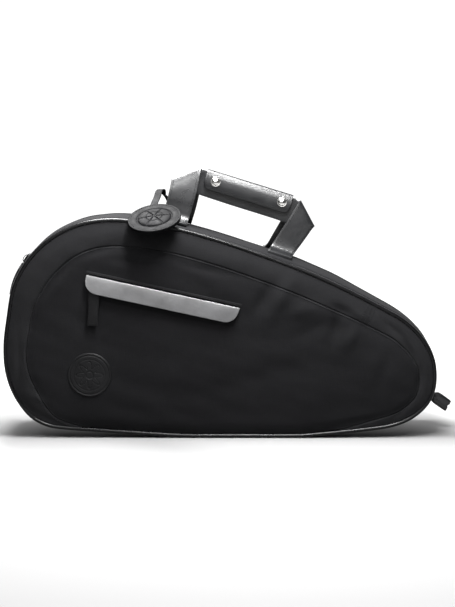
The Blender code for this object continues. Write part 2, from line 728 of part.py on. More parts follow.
def build_tag():
    right, up, normal = tag_frame()
    centre = Vector(TAG_CENTRE)
    pivot = handle_point(FOOT_HEEL_S, 0, 20)
    face = [
        (0, 3.6), (9, 3.4), (16, 2.8), (19.5, 1.9), (21, 1.5), (23, 1.9),
        (TAG_R - 1, 1.9), (TAG_R, 1.3), (TAG_R, 0), (0, 0),
    ]
    lathe("tag_face", face, "leather", centre + normal * (GAP / 2 + 0.9), normal, 32)
    back = [(0, 1.8), (TAG_R - 0.6, 1.8), (TAG_R, 1.3), (TAG_R, 0.3), (TAG_R - 0.4, 0), (0, 0)]
    lathe("tag_back", back, "leather", centre - normal * (1.8 + GAP / 2 + 0.9), normal, 32)
    upright = H_DIR
    level = right
    end = centre + up * 22
    path = [
        (Vector(handle_point(-2, 0, 20)), upright), (Vector(handle_point(-16, 0, 21)), upright),
        (Vector((-88.5, -2, 299)), (upright + level * -0.6).normalized()), (Vector((-91.5, -7, 308)), level),
        (Vector((-92.0, -16, 310)), level), (Vector((-93, -30, 302)), level),
        (centre + up * 36, level), (end, level),
    ]
    rows = []
    for at, wide in path:
        rows.append([tuple(at - wide * 4.5), tuple(at + wide * 4.5)])
    strap = grid("tag_strap", rows, "leather")
    solidify(strap, 1.6, 0.0)
    smooth(strap, 60)
    set_origin(strap, pivot)


build_front()
build_back()
build_piping()
build_gusset()
build_padding()
build_pocket()
build_main_slider()
build_feet()
build_handle()
build_patch()
build_toe_loop()
build_tag()
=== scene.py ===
"""Looks of the teardrop paddle bag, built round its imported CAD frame."""

import json
import math

import bmesh
import bpy
import numpy as np
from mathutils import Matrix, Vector, noise
from mathutils.geometry import delaunay_2d_cdt


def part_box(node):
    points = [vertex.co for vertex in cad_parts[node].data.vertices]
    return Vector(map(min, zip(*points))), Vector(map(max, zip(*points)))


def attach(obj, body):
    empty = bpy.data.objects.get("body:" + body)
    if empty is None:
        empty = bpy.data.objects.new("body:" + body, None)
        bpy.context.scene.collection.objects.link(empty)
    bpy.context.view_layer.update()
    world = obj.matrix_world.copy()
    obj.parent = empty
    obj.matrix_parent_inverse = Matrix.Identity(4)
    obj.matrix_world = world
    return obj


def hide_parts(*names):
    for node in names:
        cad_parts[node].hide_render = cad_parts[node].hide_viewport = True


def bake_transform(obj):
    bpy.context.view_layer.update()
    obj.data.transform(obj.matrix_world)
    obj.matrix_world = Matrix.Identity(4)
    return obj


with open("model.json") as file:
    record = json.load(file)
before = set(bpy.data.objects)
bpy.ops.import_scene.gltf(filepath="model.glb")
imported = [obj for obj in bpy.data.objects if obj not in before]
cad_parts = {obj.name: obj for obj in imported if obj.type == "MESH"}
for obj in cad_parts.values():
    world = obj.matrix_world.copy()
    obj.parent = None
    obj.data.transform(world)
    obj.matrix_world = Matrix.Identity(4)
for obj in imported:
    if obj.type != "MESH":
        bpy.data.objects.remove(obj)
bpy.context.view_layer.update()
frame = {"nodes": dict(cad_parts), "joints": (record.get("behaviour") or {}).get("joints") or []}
NODES = frame["nodes"]
JOINTS = {joint["name"]: joint for joint in frame["joints"]}
MM = 0.001
FRONT, BACK = -1, 1
X_AXIS, Y_AXIS, Z_AXIS, TO_FRONT = Vector((1, 0, 0)), Vector((0, 1, 0)), Vector((0, 0, 1)), Vector((0, -1, 0))


# ---------------------------------------------------------------- materials
MIX_FACTOR, MIX_A, MIX_B, MIX_RESULT = 0, 6, 7, 2


class Shader:
    """A Principled material with a few helpers for procedural colour, roughness and bump."""

    def __init__(self, name, colour, roughness, metallic=0.0, sheen=0.0, coat=0.0, specular=0.5):
        self.material = bpy.data.materials.new(name)
        self.material.use_nodes = True
        self.tree = self.material.node_tree
        self.shader = self.tree.nodes["Principled BSDF"]
        self.set("Base Color", (*colour, 1.0))
        self.set("Roughness", roughness)
        self.set("Metallic", metallic)
        self.set("Specular IOR Level", specular)
        if sheen:
            self.set("Sheen Weight", sheen)
            self.set("Sheen Roughness", 0.5)
        if coat:
            self.set("Coat Weight", coat)
            self.set("Coat Roughness", 0.25)
        self.coords = self.add("ShaderNodeTexCoord").outputs["Object"]
        self.normal = None

    def set(self, name, value):
        self.shader.inputs[name].default_value = value

    def add(self, kind, **values):
        node = self.tree.nodes.new(kind)
        for key, value in values.items():
            node.inputs[key.replace("_", " ")].default_value = value
        return node

    def join(self, out, into):
        self.tree.links.new(out, into)

    def textured(self, kind, stretch=(1, 1, 1), **values):
        node = self.add(kind, **values)
        mapping = self.add("ShaderNodeMapping", Scale=stretch)
        self.join(self.coords, mapping.inputs["Vector"])
        self.join(mapping.outputs["Vector"], node.inputs["Vector"])
        return node.outputs

    def noise(self, scale, detail=3.0, roughness=0.5, stretch=(1, 1, 1)):
        values = {"Scale": scale, "Detail": detail, "Roughness": roughness}
        return self.textured("ShaderNodeTexNoise", stretch, **values)["Fac"]

    def cells(self, scale):
        return self.textured("ShaderNodeTexVoronoi", Scale=scale)["Distance"]

    def waves(self, scale, direction, distortion):
        node = self.add("ShaderNodeTexWave", Scale=scale, Distortion=distortion, Detail=1.0)
        node.bands_direction = direction
        self.join(self.coords, node.inputs["Vector"])
        return node.outputs["Fac"]

    def spread(self, value, low, high, to_low, to_high):
        node = self.add("ShaderNodeMapRange", From_Min=low, From_Max=high, To_Min=to_low, To_Max=to_high)
        self.join(value, node.inputs["Value"])
        return node.outputs["Result"]

    def maths(self, operation, a, b):
        node = self.add("ShaderNodeMath")
        node.operation = operation
        for socket, value in zip(node.inputs, (a, b)):
            if isinstance(value, float):
                socket.default_value = value
            else:
                self.join(value, socket)
        return node.outputs[0]

    def colour_between(self, value, dark, light):
        node = self.add("ShaderNodeMix")
        node.data_type = "RGBA"
        node.inputs[MIX_A].default_value = (*dark, 1.0)
        node.inputs[MIX_B].default_value = (*light, 1.0)
        self.join(value, node.inputs[MIX_FACTOR])
        self.join(node.outputs[MIX_RESULT], self.shader.inputs["Base Color"])

    def rough_between(self, value, low, high):
        self.join(self.spread(value, 0.3, 0.7, low, high), self.shader.inputs["Roughness"])

    def bump(self, height, strength, distance):
        node = self.add("ShaderNodeBump", Strength=strength, Distance=distance)
        self.join(height, node.inputs["Height"])
        if self.normal is not None:
            self.join(self.normal, node.inputs["Normal"])
        self.normal = node.outputs["Normal"]
        self.join(self.normal, self.shader.inputs["Normal"])


def canvas_material(name, dark, light):
    """Plain-weave cotton canvas: slubby threads, faint fading and lint."""
    look = Shader(name, light, 0.8, specular=0.05)
    fade = look.noise(9.0, 5.0, 0.6)
    thread = look.noise(950.0, 2.0, 0.6, (1.0, 1.0, 0.12))
    weft = look.noise(950.0, 2.0, 0.6, (0.12, 1.0, 1.0))
    faded = look.maths("MULTIPLY", fade, 0.62)
    slub = look.maths("MULTIPLY", look.maths("ADD", thread, weft), 0.2)
    mixed = look.maths("ADD", faded, slub)
    look.colour_between(look.spread(mixed, 0.35, 0.72, 0.0, 1.0), dark, light)
    look.rough_between(fade, 0.7, 0.88)
    weave = look.maths("ADD", look.waves(900.0, "X", 1.2), look.waves(900.0, "Z", 1.2))
    look.bump(look.maths("MULTIPLY", weave, 0.5), 0.35, 0.00018)
    look.bump(look.maths("ADD", thread, weft), 0.25, 0.0003)
    look.bump(look.noise(60.0, 4.0, 0.55), 0.25, 0.0012)
    return look.material


def leather_material(name, dark, light, low, high, grain, specular, coat=0.0):
    """Smooth dyed leather: fine pebble, pores, soft creasing and rubbed patches; low to high is its roughness."""
    look = Shader(name, light, (low + high) / 2, coat=coat, specular=specular)
    wear = look.noise(38.0, 5.0, 0.62)
    look.colour_between(look.spread(wear, 0.35, 0.7, 0.0, 1.0), dark, light)
    look.rough_between(look.noise(70.0, 4.0, 0.6), low, high)
    look.bump(look.cells(1350.0), grain, 0.00016)
    look.bump(look.noise(620.0, 3.0, 0.6), grain * 0.7, 0.0002)
    look.bump(look.noise(55.0, 3.0, 0.5), 0.22, 0.0011)
    return look.material


def thread_material():
    look = Shader("waxed_thread", (0.003, 0.003, 0.003), 0.6, specular=0.15)
    look.colour_between(look.noise(400.0, 2.0), (0.0016, 0.0016, 0.0018), (0.004, 0.004, 0.0045))
    look.bump(look.waves(1600.0, "DIAGONAL", 0.4), 0.5, 0.0001)
    return look.material


def metal_material(name, colour, low, high):
    look = Shader(name, colour, (low + high) / 2, metallic=1.0)
    look.rough_between(look.noise(240.0, 4.0, 0.6), low, high)
    look.bump(look.noise(900.0, 2.0), 0.08, 0.0001)
    return look.material


def tape_material():
    look = Shader("zip_tape_weave", (0.014, 0.014, 0.015), 0.8, sheen=0.1, specular=0.3)
    look.colour_between(look.noise(300.0, 3.0), (0.008, 0.008, 0.009), (0.02, 0.02, 0.022))
    look.bump(look.waves(1500.0, "X", 0.3), 0.5, 0.0002)
    return look.material


def plain_material(name, dark, light, roughness, scale):
    look = Shader(name, light, roughness)
    look.colour_between(look.noise(scale, 4.0), dark, light)
    look.bump(look.noise(scale * 3, 3.0), 0.3, 0.0004)
    return look.material


CANVAS = canvas_material("canvas_body", (0.0036, 0.0036, 0.0040), (0.0066, 0.0066, 0.0072))
# A lighter copy of the body canvas, used on the border strips and the pocket lip: painted light, standing for the
# light these curved edges catch from above.
CANVAS_EDGE_LIT = canvas_material("canvas_edge_painted_light", (0.0054, 0.0054, 0.0059), (0.0102, 0.0102, 0.0109))
LEATHER = leather_material(
    "leather_strap", (0.004, 0.0042, 0.0046), (0.0085, 0.0087, 0.0095), 0.26, 0.38, grain=0.32, specular=0.46
)
LEATHER_PIPE = leather_material(
    "leather_piping", (0.0014, 0.0014, 0.0016), (0.0030, 0.0030, 0.0034), 0.24, 0.34, grain=0.08, specular=0.16
)
# A far lighter copy of the strap leather for the pocket flap: painted sheen, standing for the overhead lamp's
# reflection in the flap's upward-tilted face.
LEATHER_FLAP_SHEEN = leather_material(
    "leather_flap_painted_sheen", (0.02, 0.02, 0.021), (0.034, 0.034, 0.036), 0.28, 0.40, grain=0.22, specular=0.62, coat=0.12
)
LEATHER_PATCH = leather_material(
    "leather_patch", (0.0028, 0.0028, 0.0031), (0.0056, 0.0056, 0.0061), 0.42, 0.55, grain=0.35, specular=0.10
)
LEATHER_TAG = leather_material(
    "leather_tag", (0.0016, 0.0016, 0.0018), (0.0034, 0.0034, 0.0038), 0.5, 0.66, grain=0.35, specular=0.03
)
THREAD = thread_material()
NICKEL = metal_material("polished_nickel", (0.78, 0.77, 0.75), 0.14, 0.24)
ZIP_METAL = metal_material("zip_black_metal", (0.03, 0.03, 0.031), 0.3, 0.42)
TAPE = tape_material()
COIL = plain_material("zip_coil_nylon", (0.01, 0.01, 0.011), (0.02, 0.02, 0.022), 0.62, 500.0)
FOAM = plain_material("lined_foam", (0.09, 0.09, 0.09), (0.14, 0.14, 0.14), 0.9, 200.0)
LINING = plain_material("lining_cloth", (0.035, 0.035, 0.04), (0.06, 0.06, 0.065), 0.88, 350.0)
BOARD = plain_material("base_board_card", (0.06, 0.052, 0.045), (0.1, 0.088, 0.075), 0.8, 150.0)


def repaint(node, made):
    materials = NODES[node].data.materials
    materials.clear()
    materials.append(made)


# ---------------------------------------------------------------- mesh tools
EDGE_ANGLE = 50
BEVEL_STEPS = 3
METAL_ANGLE = 45
TEETH_ANGLE = 30


def new_object(name, points, faces, made, smooth_angle=0):
    """A smooth-shaded object; edges sharper than smooth_angle degrees stay sharp if it is given."""
    mesh = bpy.data.meshes.new(name)
    mesh.from_pydata([tuple(float(c) for c in p) for p in points], [], faces)
    mesh.materials.append(made)
    mesh.update()
    thing = bpy.data.objects.new(name, mesh)
    bpy.context.scene.collection.objects.link(thing)
    mesh.shade_smooth()
    if smooth_angle:
        mesh.set_sharp_from_angle(angle=math.radians(smooth_angle))
    return thing


def outward(thing, close_ends=False):
    """Turn the faces outwards, after closing the open ends if asked."""
    bm = bmesh.new()
    bm.from_mesh(thing.data)
    if close_ends:
        bmesh.ops.holes_fill(bm, edges=[e for e in bm.edges if e.is_boundary], sides=0)
    bmesh.ops.recalc_face_normals(bm, faces=bm.faces)
    bm.to_mesh(thing.data)
    bm.free()
    return thing


def turn_to(thing, side):
    """Flip a sheet that doesn't look to the side it should."""
    if side * sum(f.normal.y * f.area for f in thing.data.polygons) < 0:
        thing.data.flip_normals()


def apply_modifiers(thing):
    graph = bpy.context.evaluated_depsgraph_get()
    graph.update()
    mesh = bpy.data.meshes.new_from_object(thing.evaluated_get(graph))
    thing.modifiers.clear()
    old = thing.data
    thing.data = mesh
    bpy.data.meshes.remove(old)


def thicken(thing, thickness, offset=-1.0, rounded=0.0):
    """Give a sheet its thickness and, if asked, rounded edges."""
    made = thing.modifiers.new("thickness", "SOLIDIFY")
    made.thickness = thickness
    made.offset = offset
    made.use_even_offset = True
    if rounded:
        edge = thing.modifiers.new("edge", "BEVEL")
        edge.width = rounded
        edge.segments = BEVEL_STEPS
        edge.limit_method = "ANGLE"
        edge.angle_limit = math.radians(EDGE_ANGLE)
    apply_modifiers(thing)
    thing.data.shade_smooth()
    thing.data.set_sharp_from_angle(angle=math.radians(EDGE_ANGLE))


def belongs(thing, body, slot, *nodes):
    """The body a piece rides on, its material slot (not used) and the CAD nodes it replaces."""
    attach(thing, body)
    if nodes:
        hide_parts(*nodes)


def grid_faces(rows, across, closed_across=False, closed_along=False):
    faces = []
    for r in range(rows if closed_along else rows - 1):
        for c in range(across if closed_across else across - 1):
            d, t = (c + 1) % across, (r + 1) % rows
            faces.append((r * across + c, r * across + d, t * across + d, t * across + c))
    return faces


def surface(name, rows, made, closed_across=False, closed_along=False, smooth_angle=0):
    """A sheet or a tube through rows of points."""
    rows = np.asarray(rows, float)
    faces = grid_faces(len(rows), rows.shape[1], closed_across, closed_along)
    return new_object(name, rows.reshape(-1, 3), faces, made, smooth_angle)


def joined(name, batches, made, smooth_angle=0):
    """One object from several (points, faces) batches."""
    points, faces = [], []
    for some_points, some_faces in batches:
        start = len(points)
        points.extend(some_points)
        faces.extend([tuple(start + i for i in face) for face in some_faces])
    return new_object(name, points, faces, made, smooth_angle)


# Rings of a rounded rod: share of its length, share of its radius.
CAPSULE_RINGS = ((0.0, 0.35), (0.14, 0.85), (0.5, 1.1), (0.86, 0.85), (1.0, 0.35))
CAPSULE_SIDES = 6


def capsule(a, b, radius):
    """A small rounded rod from a to b, as (points, faces)."""
    a, b = Vector(a), Vector(b)
    z = (b - a).normalized()
    x = z.orthogonal().normalized()
    y = z.cross(x)
    length = (b - a).length
    points = []
    for along, wide in CAPSULE_RINGS:
        for k in range(CAPSULE_SIDES):
            t = 2 * math.pi * k / CAPSULE_SIDES
            points.append(a + z * (along * length) + (x * math.cos(t) + y * math.sin(t)) * radius * wide)
    faces = grid_faces(len(CAPSULE_RINGS), CAPSULE_SIDES, closed_across=True)
    last = (len(CAPSULE_RINGS) - 1) * CAPSULE_SIDES
    faces.append(tuple(range(CAPSULE_SIDES))[::-1])
    faces.append(tuple(last + k for k in range(CAPSULE_SIDES)))
    return points, faces


def resample(points, spacing=None, count=None, closed=False):
    """Points at even steps along a polyline."""
    points = np.asarray(points, float)
    if closed:
        points = np.vstack([points, points[:1]])
    step = np.linalg.norm(np.diff(points, axis=0), axis=1)
    at = np.concatenate([[0], np.cumsum(step)])
    if count is None:
        count = max(2, int(round(at[-1] / spacing)))
    want = np.linspace(0, at[-1], count + 1)[: count if closed else count + 1]
    return np.stack([np.interp(want, at, points[:, k]) for k in range(points.shape[1])], 1)


def catmull(points, per_span, closed=False):
    """A smooth curve through points; its pace follows the root of the distance over the first three numbers."""
    points = [np.asarray(p, float) for p in points]
    count = len(points)
    made = []
    for i in range(count if closed else count - 1):
        if closed:
            p = [points[(i + k - 1) % count] for k in range(4)]
        else:
            p = [points[min(max(i + k - 1, 0), count - 1)] for k in range(4)]
        t = [0.0]
        for k in range(3):
            t.append(t[-1] + max(1e-6, math.sqrt(np.linalg.norm(p[k + 1][:3] - p[k][:3]))))
        for step in range(per_span):
            x = t[1] + (t[2] - t[1]) * step / per_span
            a = [((t[k + 1] - x) * p[k] + (x - t[k]) * p[k + 1]) / (t[k + 1] - t[k]) for k in range(3)]
            b = [((t[k + 2] - x) * a[k] + (x - t[k]) * a[k + 1]) / (t[k + 2] - t[k]) for k in range(2)]
            made.append(((t[2] - x) * b[0] + (x - t[1]) * b[1]) / (t[2] - t[1]))
    if not closed:
        made.append(points[-1])
    return np.array(made)


STITCH_SHARE = 0.66


def stitches(name, line, pitch=0.0032, radius=0.00028, body="case", closed=False):
    """Thread stitches along a line of points."""
    line = resample(line, spacing=pitch, closed=closed)
    batches = []
    for i in range(len(line) if closed else len(line) - 1):
        a, b = line[i], line[(i + 1) % len(line)]
        middle, half = (a + b) / 2, (b - a) * STITCH_SHARE / 2
        batches.append(capsule(middle - half, middle + half, radius))
    belongs(joined(name, batches, THREAD), body, "leather")


# ---------------------------------------------------------------- outline from the frame
def hull(points):
    """Convex outline of 2D points, clockwise seen from the front."""
    points = sorted(set(map(tuple, np.round(points, 6))))

    def half(run):
        chain = []
        for p in run:
            while len(chain) > 1:
                (ax, az), (bx, bz) = chain[-2], chain[-1]
                if (bx - ax) * (p[1] - az) - (bz - az) * (p[0] - ax) < 0:
                    break
                chain.pop()
            chain.append(p)
        return chain

    return np.array(half(points)[:-1] + half(points[::-1])[:-1])


AROUND = 480
CORNER_GAP = 0.002


def loop_of(node):
    """The outline of a CAD node in the plane of the faces, smoothed, at AROUND even stations."""
    points = np.array([(v.co.x, v.co.z) for v in NODES[node].data.vertices])
    corners = hull(points)
    keep = [corners[0]]
    for p in corners[1:]:
        if np.linalg.norm(p - keep[-1]) > CORNER_GAP:
            keep.append(p)
    made = resample(catmull(keep, 12, closed=True), count=AROUND, closed=True)
    made[:, 1] = np.maximum(made[:, 1], points[:, 1].min())
    return made


def smoothed(values, times):
    """Values round a loop, averaged with their neighbours."""
    for _ in range(times):
        values = (np.roll(values, 1, 0) + values * 2 + np.roll(values, -1, 0)) / 4
    return values


def outward_of(loop):
    """Outward unit normals of a loop."""
    tangent = np.roll(loop, -2, 0) - np.roll(loop, 2, 0)
    tangent /= np.linalg.norm(tangent, axis=1)[:, None]
    normal = smoothed(np.stack([-tangent[:, 1], tangent[:, 0]], 1), 3)
    return normal / np.linalg.norm(normal, axis=1)[:, None]


OUT = loop_of("front_piping")
SEAM = loop_of("front_centre_panel")
OUT_N = outward_of(OUT)
PIPE_LOW, PIPE_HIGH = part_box("front_piping")
PIPE_R = (PIPE_HIGH.y - PIPE_LOW.y) / 2 / math.cos(math.pi / 6)
PIPE_Y = -(PIPE_HIGH.y + PIPE_LOW.y) / 2
PLATEAU = -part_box("front_centre_panel")[0].y
EDGE_IN = 0.0050
EDGE_Y = PIPE_Y + 0.0009
CHUNK = 2000


def distance_to(loop, points):
    """Distance of each point to the closed loop of points."""
    ab = np.roll(loop, -1, 0) - loop
    length = (ab**2).sum(1)
    made = []
    for start in range(0, len(points), CHUNK):
        p = points[start : start + CHUNK, None, :]
        t = np.clip(((p - loop[None]) * ab[None]).sum(2) / length[None], 0, 1)
        near = loop[None] + ab[None] * t[..., None]
        made.append(np.sqrt(((p - near) ** 2).sum(2)).min(1))
    return np.concatenate(made)


DEEPEST_SEAM = 0.08


def seam_depth():
    """How far in from the outline the seam lies, along each station's inward normal."""
    edge = np.roll(SEAM, -1, 0) - SEAM
    made = np.zeros(AROUND)
    for i in range(AROUND):
        inward = -OUT_N[i]
        cross = inward[0] * edge[:, 1] - inward[1] * edge[:, 0]
        start = SEAM - OUT[i]
        with np.errstate(divide="ignore", invalid="ignore"):
            depth = (start[:, 0] * edge[:, 1] - start[:, 1] * edge[:, 0]) / cross
            share = (start[:, 0] * inward[1] - start[:, 1] * inward[0]) / cross
        met = (share >= 0) & (share <= 1) & (depth > 0) & (depth < DEEPEST_SEAM)
        made[i] = depth[met].min() if met.any() else EDGE_IN
    return np.maximum(smoothed(made, 6), EDGE_IN)


SEAM_IN = seam_depth()


def station(x, z):
    return int(np.argmin(((OUT - np.array((x, z))) ** 2).sum(1)))


def run_between(start, end):
    return [(start + k) % AROUND for k in range((end - start) % AROUND + 1)]


def in_from(i, depths):
    """Points (x, z) at some depths in from station i of the outline."""
    return OUT[i][None] - OUT_N[i][None] * np.asarray(depths)[:, None]


# ---------------------------------------------------------------- cloth surface
def groove(value, width):
    return math.exp(-((value / width) ** 2))


def wrinkle(x, z, side):
    """Soft hollows and creases of the padded canvas, in metres, at a point of the face."""
    big = noise.noise(Vector((x * 11 + 3.1 * side, z * 11, 4.0))) * 0.0011
    mid = noise.noise(Vector((x * 28, z * 28 + 5 * side, 9.0))) * 0.0006
    along = x * 0.94 - z * 0.34
    across = x * 0.34 + z * 0.94
    drag = noise.noise(Vector((along * 16, across * 55, 2.0 + side))) * 0.0007
    return big + mid + drag


# Soft dents (positive) and bulges (negative): centre x, z, length, width, direction in degrees, depth (metres).
DENTS = [
    (0.040, 0.177, 0.034, 0.012, 60, 0.0022), (0.060, 0.172, 0.040, 0.013, 62, -0.0018),
    (0.085, 0.160, 0.030, 0.014, 15, -0.0014), (0.100, 0.138, 0.040, 0.014, 25, 0.0012),
    (0.130, 0.140, 0.024, 0.011, 80, 0.0022), (0.148, 0.126, 0.022, 0.012, 65, -0.0018),
    (0.138, 0.162, 0.020, 0.007, -25, 0.0018), (0.160, 0.156, 0.016, 0.006, -25, -0.0010),
    (0.202, 0.138, 0.022, 0.006, -40, 0.0020), (0.222, 0.112, 0.030, 0.006, -62, 0.0022),
    (0.236, 0.070, 0.026, 0.006, -92, 0.0018), (0.215, 0.036, 0.026, 0.006, -135, 0.0016),
    (0.150, 0.020, 0.05, 0.006, 10, 0.0012), (-0.03, 0.212, 0.05, 0.007, -12, 0.0011),
    (-0.095, 0.231, 0.045, 0.006, -14, 0.0014), (-0.115, 0.222, 0.05, 0.008, -4, 0.0010),
    (-0.165, 0.236, 0.03, 0.007, 22, 0.0010), (-0.215, 0.205, 0.035, 0.007, 52, 0.0014),
    (-0.266, 0.10, 0.055, 0.0055, 90, 0.0015), (-0.256, 0.040, 0.03, 0.006, -50, 0.0018),
    (-0.240, 0.050, 0.022, 0.005, -30, -0.0010), (-0.226, 0.022, 0.03, 0.006, -30, 0.0016),
    (0.02, 0.075, 0.09, 0.020, 16, 0.0010), (-0.09, 0.06, 0.10, 0.02, -8, 0.0009),
    (-0.185, 0.145, 0.02, 0.012, 80, 0.0008), (0.19, 0.085, 0.035, 0.012, 70, 0.0009),
]
DENT_DEPTH = 1.5
DENT_FALL = 2.2
BACK_SHIFT = 0.03


def dents(points, side):
    total = np.zeros(len(points))
    for x, z, length, width, angle, depth in DENTS:
        a = math.radians(angle)
        if side == BACK:
            x, a = x - BACK_SHIFT, -a
        dx, dz = points[:, 0] - x, points[:, 1] - z
        u = dx * math.cos(a) + dz * math.sin(a)
        v = -dx * math.sin(a) + dz * math.cos(a)
        total += depth * np.exp(-((u / length) ** 2) * DENT_FALL - (v / width) ** 2 * DENT_FALL)
    return total * DENT_DEPTH


FLAP_HINGE = JOINTS["pocket_flap_lift"]
ALONG = -Vector(FLAP_HINGE["axis"]).normalized()
DOWN = Vector((ALONG.z, 0, -ALONG.x))
FLAP_START = Vector(FLAP_HINGE["pos_m"])
FLAP_LENGTH = 0.195
FLAP_HEIGHT = 0.0205


def pocket_point(u, w, y):
    """A point u along the flap's hinge line and w below it."""
    p = FLAP_START + ALONG * u + DOWN * w
    return Vector((p.x, y, p.z))


def pocket_flat(places):
    """Points (x, z) for (u, w) places along and below the flap's hinge line."""
    points = [pocket_point(u, w, 0) for u, w in places]
    return np.array([(p.x, p.z) for p in points])


def pocket_hollow(points):
    """The panel is drawn in a little along the pocket's slit so that zip and pull clear it."""
    dx, dz = points[:, 0] - FLAP_START.x, points[:, 1] - FLAP_START.z
    u = dx * ALONG.x + dz * ALONG.z
    w = dx * DOWN.x + dz * DOWN.z
    beyond = np.maximum(np.maximum(-u, u - FLAP_LENGTH), 0)
    return 0.0012 * np.exp(-(((w - 0.012) / 0.016) ** 2) - (beyond / 0.008) ** 2)


def face_out(points, side):
    """How far the cloth stands out from the middle plane at points (x, z) of a face."""
    points = np.asarray(points, float)
    from_edge = distance_to(OUT, points)
    run = np.clip((from_edge - EDGE_IN) / 0.058, 0, 1)
    out = EDGE_Y + (PLATEAU + 0.0006 - EDGE_Y) * np.sin(run * math.pi / 2) ** 0.92
    if side == FRONT:
        fade = np.clip((points[:, 0] + 0.14) / 0.06, 0, 1)
        belly = 0.0020 * fade * np.exp(-(((points[:, 1] - 0.098) / 0.052) ** 2))
        out += belly * np.clip((from_edge - 0.02) / 0.05, 0, 1)
    loose = np.clip(from_edge / 0.03, 0, 1) * 0.7 + 0.3
    waves = np.array([wrinkle(x, z, side) for x, z in points])
    out += (waves - dents(points, side)) * loose
    if side == FRONT:
        seam = distance_to(SEAM, points)
        pucker = np.array([noise.noise(Vector((x * 95, z * 95, 1.0))) for x, z in points]) * 0.0005
        out += (pucker - 0.0009) * np.exp(-((seam / 0.005) ** 2))
        out += 0.0010 * np.exp(-(((from_edge - 0.018) / 0.010) ** 2))
        out -= pocket_hollow(points)
    return out


def on_front(flat, above):
    """Points of the front face over points (x, z), raised by some height."""
    return np.stack([flat[:, 0], -face_out(flat, FRONT) - above, flat[:, 1]], 1)


def inside(loop, points):
    x, z = points[:, 0], points[:, 1]
    hit = np.zeros(len(points), bool)
    for (ax, az), (bx, bz) in zip(loop, np.roll(loop, -1, 0)):
        crosses = (az > z) != (bz > z)
        if crosses.any():
            at = ax + (z - az) / (bz - az + 1e-15) * (bx - ax)
            hit ^= crosses & (x < at)
    return hit


CLOTH = 0.0012
ROW_STEP = 0.866
EDGE_STEP = 0.8
EDGE_GAP = 0.55


def cloth_panel(name, node, outlines, side, spacing):
    """A panel meshed with even triangles in its outline (and off its hole), then shaped as padded cloth."""
    loops = [resample(outline, spacing=spacing * EDGE_STEP, closed=True) for outline in outlines]

    def wanted(points):
        keep = inside(loops[0], points)
        for hole in loops[1:]:
            keep &= ~inside(hole, points)
        return keep

    low, high = loops[0].min(0), loops[0].max(0)
    inner = []
    row = 0
    z = low[1] + spacing / 2
    while z < high[1]:
        x = low[0] + (spacing / 2 if row % 2 else 0)
        while x < high[0]:
            inner.append((x, z))
            x += spacing
        z += spacing * ROW_STEP
        row += 1
    inner = np.array(inner)
    inner = inner[wanted(inner)]
    coords, edges = [], []
    for loop in loops:
        inner = inner[distance_to(loop, inner) > spacing * EDGE_GAP]
        start = len(coords)
        coords += [Vector(p) for p in loop]
        edges += [(start + k, start + (k + 1) % len(loop)) for k in range(len(loop))]
    coords += [Vector(p) for p in inner]
    points, _, faces, *_ = delaunay_2d_cdt(coords, edges, [], 0, 1e-7)
    flat = np.array([(p.x, p.y) for p in points])
    kept = wanted(np.array([flat[list(f)].mean(0) for f in faces]))
    faces = [tuple(f) for f, ok in zip(faces, kept) if ok]
    points = [(x, side * y, z) for (x, z), y in zip(flat, face_out(flat, side))]
    panel = outward(new_object(name, points, faces, CANVAS))
    turn_to(panel, side)
    thicken(panel, CLOTH)
    belongs(panel, "case", "canvas", node)


# ---------------------------------------------------------------- front and back faces
def build_faces():
    slit = pocket_flat(((0.006, 0.0065), (0.176, 0.0065), (0.176, 0.0135), (0.006, 0.0135)))
    front_edge = SEAM + outward_of(SEAM) * 0.0004
    cloth_panel("panel_front", "front_centre_panel", (front_edge, slit), FRONT, 0.0034)
    cloth_panel("panel_back", "back_panel", (OUT - OUT_N * EDGE_IN,), BACK, 0.0042)


SEAM_LAP = 0.0002
STITCH_IN = 0.0016
OUTER_STITCH_IN = 0.0046
FURROW = 0.0012
FURROW_WIDTH = 0.0008
# Distances from the seam of the border's last rows, closest round the stitched furrow.
SEAM_ROWS = np.array([0.0046, 0.0036, 0.0028, 0.0023, 0.0019, STITCH_IN + SEAM_LAP, 0.0014, 0.0009, 0.0004, 0.0])


def border_rows(numbers):
    """Rows of the border strip from the piping in to the seam, which has a raised lap and a stitched furrow."""
    rows = []
    for i in numbers:
        last = SEAM_IN[i] + SEAM_LAP
        near = SEAM_ROWS * min(1, (last - EDGE_IN) / 0.006)
        depths = np.concatenate([np.linspace(EDGE_IN, last - near[0], 9)[:-1], last - near])
        from_seam = last - depths
        lap = 0.0003 * np.clip(1 - from_seam / 0.006, 0, 1)
        furrow = FURROW * np.exp(-(((from_seam - STITCH_IN - SEAM_LAP) / FURROW_WIDTH) ** 2))
        rows.append(on_front(in_from(i, depths), lap - furrow + 0.0002))
    return np.array(rows)


def build_borders():
    start, end, cross = station(-0.180, 0.008), station(0.132, 0.0045), station(0.184, 0.169)
    for name, numbers in (("long", run_between(start, cross)), ("toe", run_between(cross, end))):
        rows = border_rows(numbers)
        if name == "toe":
            rows[0] = rows[0] + (rows[1] - rows[0]) * 0.05
            rows[0][:, 1] += 0.0004
        strip = surface("border_front_" + name, rows, CANVAS_EDGE_LIT)
        turn_to(strip, FRONT)
        thicken(strip, 0.0011)
        belongs(strip, "case", "canvas", "front_border_" + name)
    both = run_between(start, end)
    for name, numbers, from_seam, above in (
        ("inner", both, STITCH_IN, 0.0006 - FURROW),
        ("outer", both[: len(both) // 3], OUTER_STITCH_IN, 0.0004),
    ):
        flat = [OUT[i] - OUT_N[i] * (SEAM_IN[i] - from_seam) for i in numbers if SEAM_IN[i] > 0.0095]
        stitches("stitches_border_" + name, on_front(np.array(flat), above))
    for name, shift in (("a", -2), ("b", -4)):
        i = (cross + shift) % AROUND
        flat = in_from(i, np.linspace(EDGE_IN + 0.002, SEAM_IN[i] - 0.002, 12))
        stitches("stitches_cross_seam_" + name, on_front(flat, 0.0006))


# ---------------------------------------------------------------- piping and gusset
PIPE_SIDES = 14


